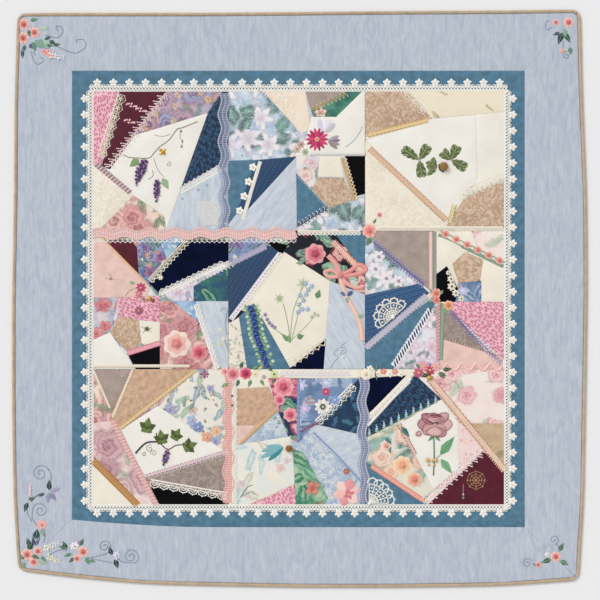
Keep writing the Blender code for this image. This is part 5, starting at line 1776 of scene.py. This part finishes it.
def ivy_3_1(work):
    tones = ("#6E8044", "#4C5C2C", "#333D1C")
    for x, y, radius, angle in (
        (-226, -192, 17, 80), (-204, -209, 16, 100), (-184, -204, 14, 60), (-166, -219, 16, 20)
    ):
        ivy(work, x, y, radius, angle, tones)
    # The paler lilac among the grapes' plum tones is partly a painted highlight on the beads.
    grapes(work, -196, -226, -201, -246, 11, (PLUM, "#A486B4", "#6B4A7C"))
    for index in range(9):
        x, y = -128 - index * 3.5, -150 + 5 * math.sin(index * 1.9) + index * 2
        work.bead(x, y, 1.2, "#8C7A6A")
    for angle in range(0, 360, 45):
        work.petal(-141, -112, angle, 7.5, 3.2, ("#8C5A72", "#B98CA0")[angle // 45 % 2], 0.1)
    for x, y, tone in (
        (-150, -190, "#7F93C4"), (-160, -180, "#A9B8DC"), (-138, -205, "#E9A98C"), (-124, -196, "#F0BC9C")
    ):
        work.flower(x, y, 8.5, 5, tone, "#D9C490")


embroider(
    "embroidery_3_1",
    threads=(
        (bend((-243, -229), (-228, -214), (-211, -212)), 2.6, "#3A2430"),
        (bend((-212, -199), (-210, -209), (-196, -223), (-182, -217), (-163, -217)), 1.6, "#4A3A26"),
        (curl(-222, -222, 6, 60, 1.4), 0.8, "#7A6248"), (curl(-216, -229, 5, 200, -1.4), 0.8, "#A08A5C"),
        (curl(-230, -231, 3.5, 30, 1.2), 0.8, "#7A6248"),
    ),
    leaves=((-172, -160, 80, 18, 6, "#8FA8A0"), (-163, -165, 60, 16, 6, "#7F9C94")),
    beads=tuple(((-266 + step * 3.6, -110 - step * 5, 1.3, "#E9E4DC", 0) for step in range(-1, 12, 2))),
    others=ivy_3_1,
)


def flowers_3_2(work):
    for petal in range(9):
        work.petal(34, -160, petal * 40, 12.5, 7, ("#F2EDE2", "#E6DED6")[petal % 2], 0.1 * (petal % 2), 0.5)
    for turn in range(6):
        work.bead(*point_at(34, -160, 3.2, turn * 60), 1.6, "#2F4A34", 0.6)
    for angle, length in ((178, 26), (205, 38), (222, 30), (190, 34)):
        work.petal(-24, -220, angle, length, 8, ("#3F8C92", "#7FB4BC", "#A9CDD6")[angle % 3], 0.1, 0.5)
    for x, y, radius in ((-24, -131, 16), (-14, -172, 11), (-30, -150, 9)):
        work.rose(x, y, radius, ("#F0ACB0", "#E58A96", "#C9586E"))


embroider(
    "embroidery_3_2",
    threads=(
        (bend((28, -184), (14, -190), (2, -197)), 2.2, "#9C4460"),
        (bend((20, -198), (55, -232), (92, -272), steps=8), 2.6, "#8FA9D0"),
        (bend((-88, -295), (-78, -280), (-70, -276)), 1.2, "#6F8C6A"),
        (bend((-84, -292), (-72, -286), (-66, -290)), 1.0, "#8CA67E"),
    ),
    leaves=(
        (-105, -125, 210, 13, 7, "#6F8F62"), (-90, -120, 250, 12, 6, "#2F5A40"),
        (-88, -103, 70, 11, 6, FOREST), (-70, -104, 20, 11, 6, "#5F8F6A"),
        (-58, -120, 300, 11, 5, "#6F8F62"), (-72, -120, 250, 12, 6, "#5F8F6A"),
        (-62, -106, 40, 12, 4, "#E3D79A"), (-40, -107, 150, 10, 4, FOREST),
        (-36, -118, 240, 10, 5, "#2F5A40"),
    ),
    flowers=(
        (-38, -112, 6.5, 8, "#D9E0A8", "#2F5A40"), (-66, -112, 5.0, 6, "#EFE4B4", "#D9B45C"),
        (39, -138, 6.5, 6, "#C9447C", "#F0D27C"), (52, -150, 7.5, 5, "#7FA3D6", "#E9E4C8"),
        (69, -256, 5.5, 6, "#B5725C", "#E0A27C"), (-53, -116, 3.5, 6, "#B9A4B0", "#E9E4C8"),
    ),
    roses=(
        (-99, -112, 11, ("#F2B4B0", "#E58C94", "#CC6478")),
        (-80, -111, 9.5, ("#E4849A", "#CC4468", "#A82E52")),
        (-111, -108, 7, ("#F6D0C6", "#F0B4AC", "#DE8A88")),
    ),
    beads=(
        (-16, -222, 5.6, "#8C5A1E", Work.GLASS), (-100, -144, 1.6, "#1E1A22", Work.GLASS),
        (-100, -158, 1.6, "#1E1A22", Work.GLASS),
    ),
    others=flowers_3_2,
)


def peach_flower(work):
    for petal in range(6):
        angle, tone = petal * 60 + 12, ("#F2C0B8", "#E79C9E", "#F6D4CA")[petal % 3]
        work.petal(70, -287, angle, 21, 16, tone, 0.2 * (petal % 2), 1.0)
    for petal in range(4):
        work.petal(73, -290, petal * 90 + 30, 8, 6, "#D97884", 0.8, 0.6)
    work.bead(73, -290, 1.6, "#F0E0B4", 1.4)


flower_piece = embroider("flower_peach_cloth", others=peach_flower)
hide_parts("flower_peach_3_2")
for name, x, y, radius, tones in (
    ("rose_peach_2_3", 103, 100, 11, ("#F4BDB0", "#EE9E92", "#E07F7C")),
    ("rose_cream_3_3", 98, -112, 9, ("#F1E6CF", "#F6EFE0", "#E6D3B0")),
):
    ribbon_rose = embroider(f"{name}_ribbon", roses=((x, y, radius, tones),), lift=ROSE_LIFT)
    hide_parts(name)


def rose_3_3(work):
    """The large rose, its petals worked in satin stitch round a bud."""
    for index, (x, y, angle, length, width, tone, edge) in enumerate((
        (199, -186, 180, 25, 22, "#C08C90", "#8C4A58"),
        (199, -186, 0, 27, 22, "#D9B0AE", "#9C5A66"),
        (199, -186, 222, 21, 20, "#CFA09E", "#8C4A58"),
        (199, -188, 318, 22, 20, "#C69494", "#8C4A58"),
        (200, -184, 148, 23, 15, "#B47C84", "#7C3A4A"),
        (200, -184, 34, 24, 15, "#D3A8A6", "#9C5A66"),
        (200, -190, 270, 14, 26, "#DBB6B2", "#9C5A66"),
        (184, -175, -8, 31, 15, "#C08A90", "#7C3A4A"),
        (188, -178, 2, 23, 12, "#DDB4B0", "#8C4A58"),
        (193, -176, 0, 15, 8, "#A4606C", "#6E2E40"),
        (180, -198, 205, 9, 7, "#D3A5A3", "#9C5A66"),
    )):
        work.petal(x, y, angle, length, width, tone, index * 0.1, 0.7)
        cos, sin = math.cos(math.radians(angle)), math.sin(math.radians(angle))
        edges = [(u, v * side) for side in (1, -1) for u, v in ((0.05, 0.15), *Work.ROUND, (1.0, 0.0))][:6]
        edges += [(u, -v) for u, v in reversed(((0.05, 0.15), *Work.ROUND))]
        rim = [
            (x + u * length * cos - v * width * sin, y + u * length * sin + v * width * cos)
            for u, v in edges
        ]
        work.thread(rim, 1.0, edge, index * 0.1 + 0.2)
    for step in range(10):
        x, y = 103 + step * 10.9, -202 + step * 5.3
        for layer in range(3):
            reach = 5.5 - layer * 1.3
            work.petal(x - reach / 2, y + layer * 2.8, 28, reach, 2.6, "#A9C6D2", 0.2)
            work.petal(x + reach / 2, y + layer * 2.8 + 2, 208, reach, 2.6, "#C3D6DC", 0.3)
        work.bead(x - 0.6, y + 9.6, 0.9, "#D6E4E8", 0.3)
    web_x, web_y, size = 261, -269, 15.0
    for turn in range(8):
        rim = point_at(web_x, web_y, size, turn * 45)
        work.thread([(web_x, web_y), rim], 0.8, "#D9B484", 0, Work.GOLD)
    for share in (0.35, 0.62, 0.9):
        work.thread(arc(web_x, web_y, size * share, 0, 360, 8), 0.8, "#E3C294", 0.1, Work.GOLD)


embroider(
    "embroidery_3_3",
    threads=(
        (bend((198, -198), (199, -230), (198, -262)), 2.0, "#4F7A52"),
        (bend((208, -232), (203, -236), (198, -246)), 1.0, "#5C8A60"),
        (bend((98, -203), (150, -178), (203, -151)), 1.6, "#2F6A4A"),
        (bend((205, -124), (218, -128), (230, -123), (236, -133)), 0.7, "#8A8A84"),
        (bend((242, -275), (242, -292)), 0.7, "#C9B8A8"),
    ),
    leaves=(
        (208, -231, 52, 34, 14, "#6FA578", "#3F7A52"), (209, -238, -52, 27, 12, "#7FB088", "#3F7A52"),
        (198, -203, 225, 12, 5, "#5C8A60"), (200, -203, -45, 12, 5, "#5C8A60"),
        (212, -106, 10, 14, 6, "#2F4A28"), (206, -112, -30, 12, 5, "#4F6A3C"),
        (112, -108, -80, 14, 4, "#2F6A3C"), (112, -108, 75, 11, 4, "#3F7A4C"),
        (150, -190, -50, 20, 9, "#2F6A64", "#7FA8A0"), (128, -205, -75, 26, 10, "#3F7A74", "#9CC0B4"),
    ),
    flowers=(
        (104, -104, 5.5, 5, "#F4F0E0", "#D9C490"), (116, -112, 5.0, 5, "#F0EBDC", "#D9C490"),
        (124, -108, 5.0, 5, "#E58C80", "#F4D8C4"), (133, -112, 5.0, 5, "#F6F0E8", "#D9B45C"),
        (141, -108, 5.0, 5, "#E59C90", "#F4D8C4"), (150, -112, 4.5, 5, "#F6F0E8", "#D9B45C"),
    ),
    roses=(
        (152, -247, 15, ("#F6D8B4", "#F3C49C", "#EBA98A")),
        (170, -268, 12, ("#F4C4A4", "#EDA98C", "#DE8A78")),
        (128, -218, 9, ("#F6E0D6", "#F0C8B8", "#E0A090")),
    ),
    beads=(
        (189, -239, 3.4, "#E0B878", Work.GOLD), (201, -239, 3.4, "#E0B878", Work.GOLD),
        (195, -240, 2.2, "#F0D8A0", Work.GOLD), (191, -246, 1.8, "#D9A860", Work.GOLD),
        (199, -246, 1.8, "#D9A860", Work.GOLD), (192, -117, 4.0, GOLD, Work.GOLD),
        (242, -290, 1.8, "#C9C4C8", Work.GLASS), (242, -295, 2.2, "#8C8C94", Work.GLASS),
    ),
    others=rose_3_3,
)

# Corner sprays: ribbon roses, leaves and curling tendrils on the watered silk, small in three corners and
# long in the lower left, where they climb up the side.
SILK_LIFT = 0.35 * MM
ROSE_TONES = ("#F4C8BC", "#EBA49A", "#CC6C6A")
TENDRIL = "#8593A2"
TENDRIL_WIDTH = 0.9


def tendrils(*paths):
    """Fine grey-blue stem stitch along these paths."""
    return tuple((path, TENDRIL_WIDTH, TENDRIL) for path in paths)


def sprays(work):
    """Rows of white knots along the small blossom stalks."""
    for start, end, tone in (
        ((-371, 360), (-350, 357), "#F4F0EE"),
        ((-378, -370), (-358, -362), "#F4F1E4"),
        ((-373, -382), (-357, -390), "#F1ECD4"),
        ((-400, -290), (-400, -276), "#F6DDE2"),
        ((-338, -367), (-330, -363), "#F6F4F0"),
        ((-273, -384), (-268, -374), "#E4DCEE"),
    ):
        for step in range(6):
            t = step / 5
            spot = (start[0] + (end[0] - start[0]) * t, start[1] + (end[1] - start[1]) * t)
            for side in (-1, 1):
                lean = math.sin(step * 2.4 + side + start[1])
                size = 2.4 - 0.2 * step + 0.3 * lean
                angle, length = side * (70 + 25 * lean), 5.4 - 0.4 * step
                work.petal(spot[0] + lean, spot[1], angle, length, size * 1.4, tone, 0.1)
                work.bead(spot[0] + 1.5 * lean, spot[1] + (2.2 + lean) * side, size * 0.7, tone, 0.4)


embroider(
    "sprays_left",
    threads=tendrils(
        bend((-378, 391), (-360, 386), (-351, 394), (-353, 402), (-361, 403), (-358, 396)),
        bend((-360, 374), (-343, 366), (-330, 364), (-317, 373), (-320, 383), (-330, 383), (-330, 378)),
        bend((-398, 367), (-394, 352), (-387, 347), (-379, 353), (-384, 358)),
        bend((-410, 372), (-413, 362), (-409, 356)), bend((-374, -382), (-358, -373), (-345, -373)),
        bend((-315, -383), (-296, -388), (-278, -391)),
        bend((-315, -385), (-302, -382), (-285, -377), (-280, -368)), curl(-289, -367, 9.5, -10, 1.5),
        bend((-270, -384), (-262, -390), (-244, -391), (-238, -384)), curl(-250, -382, 11.5, -10, 1.6),
        bend((-380, -362), (-377, -352), (-379, -340)),
        bend((-388, -337), (-396, -326), (-395, -310), (-388, -303)), curl(-384, -314, 10.5, 110, -1.4),
        bend((-397, -330), (-403, -318), (-404, -306)), bend((-369, -276), (-368, -262), (-372, -252)),
        curl(-384, -259, 13, 20, 1.6), bend((-395, 366), (-391, 360)),
    ) + ((bend((-398, -301), (-388, -291), (-379, -288)), 1.1, "#5C6470"),),
    leaves=(
        (-392, 382, -38, 19, 12, "#7FA596"), (-396, 380, -70, 15, 9, "#5C8A78"),
        (-380, 378, -50, 14, 9, "#8FB4A6"), (-401, 398, -80, 11, 6, "#2F5A48"),
        (-399, 412, 10, 11, 6, "#5C8A78"), (-371, 382, -28, 12, 6, "#1F4030"),
        (-397, -381, -20, 13, 7, "#3F6A4C"), (-407, -391, 240, 12, 7, "#7FA08A"),
        (-383, -382, -50, 12, 6, "#5C8A6C"), (-400, -366, 110, 12, 7, "#2A4A50"),
        (-326, -366, 60, 12, 6, FOREST), (-317, -384, -60, 12, 6, "#5C8A6C"),
        (-386, 399, 10, 16, 8, "#B9CCC0"), (-385, 384, -60, 15, 8, "#8A9E94"),
        (-382, 381, -20, 14, 7, "#A9CCBC"), (-378, 384, 20, 11, 5, FOREST),
        (-376, 376, -10, 11, 5, "#2F5A48"), (-365, 375, 10, 11, 5, FOREST),
        (-407, 376, -100, 11, 5, "#2F5A48"), (-410, 367, -95, 11, 5, "#2A3460"),
        (-402, -372, 60, 14, 9, FOREST), (-405, -382, 190, 12, 7, "#5C8A6C"),
        (-388, -389, -10, 16, 9, "#A9BFA8"), (-394, -366, 95, 15, 5, "#2E2450"),
        (-392, -366, 60, 15, 5, "#6A5A94"), (-391, -356, 80, 15, 11, "#2A4A50"),
        (-345, -372, 115, 14, 7, FOREST), (-346, -370, 165, 12, 5, "#2F6A48"),
        (-338, -378, 200, 12, 5, "#3F7A58"), (-334, -384, 220, 11, 5, "#2F4A3C"),
        (-312, -388, -10, 10, 5, "#5C8A6C"), (-278, -380, 110, 14, 7, "#26343E"),
        (-274, -386, -70, 15, 8, "#26343E"), (-383, -340, -70, 14, 8, "#8FA898"),
        (-403, -302, -110, 15, 7, "#22402E"), (-402, -298, 20, 12, 5, "#2F5A3C"),
        (-378, -289, 200, 11, 5, "#2E3A44"), (-371, -284, 90, 16, 8, "#22343A"),
        (-369, -286, 20, 16, 7, "#A79CC4"), (-370, -288, -50, 15, 7, "#8C86AC"),
        (-372, -288, -95, 15, 7, "#9C96B8"),
    ),
    flowers=(
        (-379, 366, 4.6, 6, "#F2A9B2", "#D9687C"), (-372, 366, 4.2, 6, "#F4C0C0", "#D9687C"),
        (-367, 358, 3.8, 6, "#F0A4AC", "#D9687C"), (-398, 374, 4.2, 5, "#7C6A9C", "#3A2E60"),
        (-376, 364, 4.8, 5, PEACH, "#E07F7C"), (-371, 359, 4.0, 5, PEACH, "#E07F7C"),
        (-333, -367, 5.8, 6, "#F4F1EC", "#3A4438"), (-327, -361, 3.5, 5, "#B4A8D0", "#6A5A94"),
        (-271, -380, 6.0, 6, "#E4DCEE", "#8C86AC"), (-382, -335, 8.2, 7, "#F2B4AC", "#E08A86"),
    ),
    roses=(
        (-409, 406, 9.2, ROSE_TONES), (-393, 394, 8.5, ROSE_TONES), (-410, 386, 9.2, ROSE_TONES),
        (-404, -379, 9.0, ROSE_TONES), (-388, -374, 6.9, ROSE_TONES), (-394, -390, 7.6, ROSE_TONES),
        (-321, -375, 8.5, ROSE_TONES), (-330, -385, 6.2, ROSE_TONES),
    ),
    others=sprays, lift=SILK_LIFT,
)
embroider(
    "sprays_right",
    threads=tendrils(
        bend((390, 381), (390, 374), (389, 366)), bend((374, 402), (366, 398), (364, 408), (370, 412)),
        curl(395, 360, 6, 80, 1.3), curl(337, -392, 7.5, 30, 1.4), curl(376, -357, 7.5, -80, 1.4),
        bend((345, -393), (352, -392), (366, -388)), bend((380, -364), (385, -370), (382, -377)),
    ),
    leaves=(
        (392, 400, -80, 16, 8, "#8FA898"), (389, 394, -110, 19, 9, FOREST),
        (392, 394, -60, 18, 8, "#2F5A48"), (385, 394, 200, 11, 5, "#2A3460"),
        (400, 372, -80, 11, 7, "#5C8A6C"), (372, -386, 200, 15, 8, "#3F6A4C"),
        (386, -388, -30, 14, 8, "#5C8A6C"), (384, -374, 60, 14, 7, "#3F6A4C"),
        (356, -396, 170, 11, 5, "#7FA08A"),
    ),
    flowers=((389, 367, 4.0, 5, PEACH, "#E07F7C"), (366, -379, 3.6, 6, "#F4F1EC", "#D9C490")),
    roses=(
        (398, 409, 8.0, ROSE_TONES), (379, 409, 5.2, ROSE_TONES), (379, -382, 8.0, ROSE_TONES),
        (353, -394, 5, ROSE_TONES),
    ),
    lift=SILK_LIFT,
)
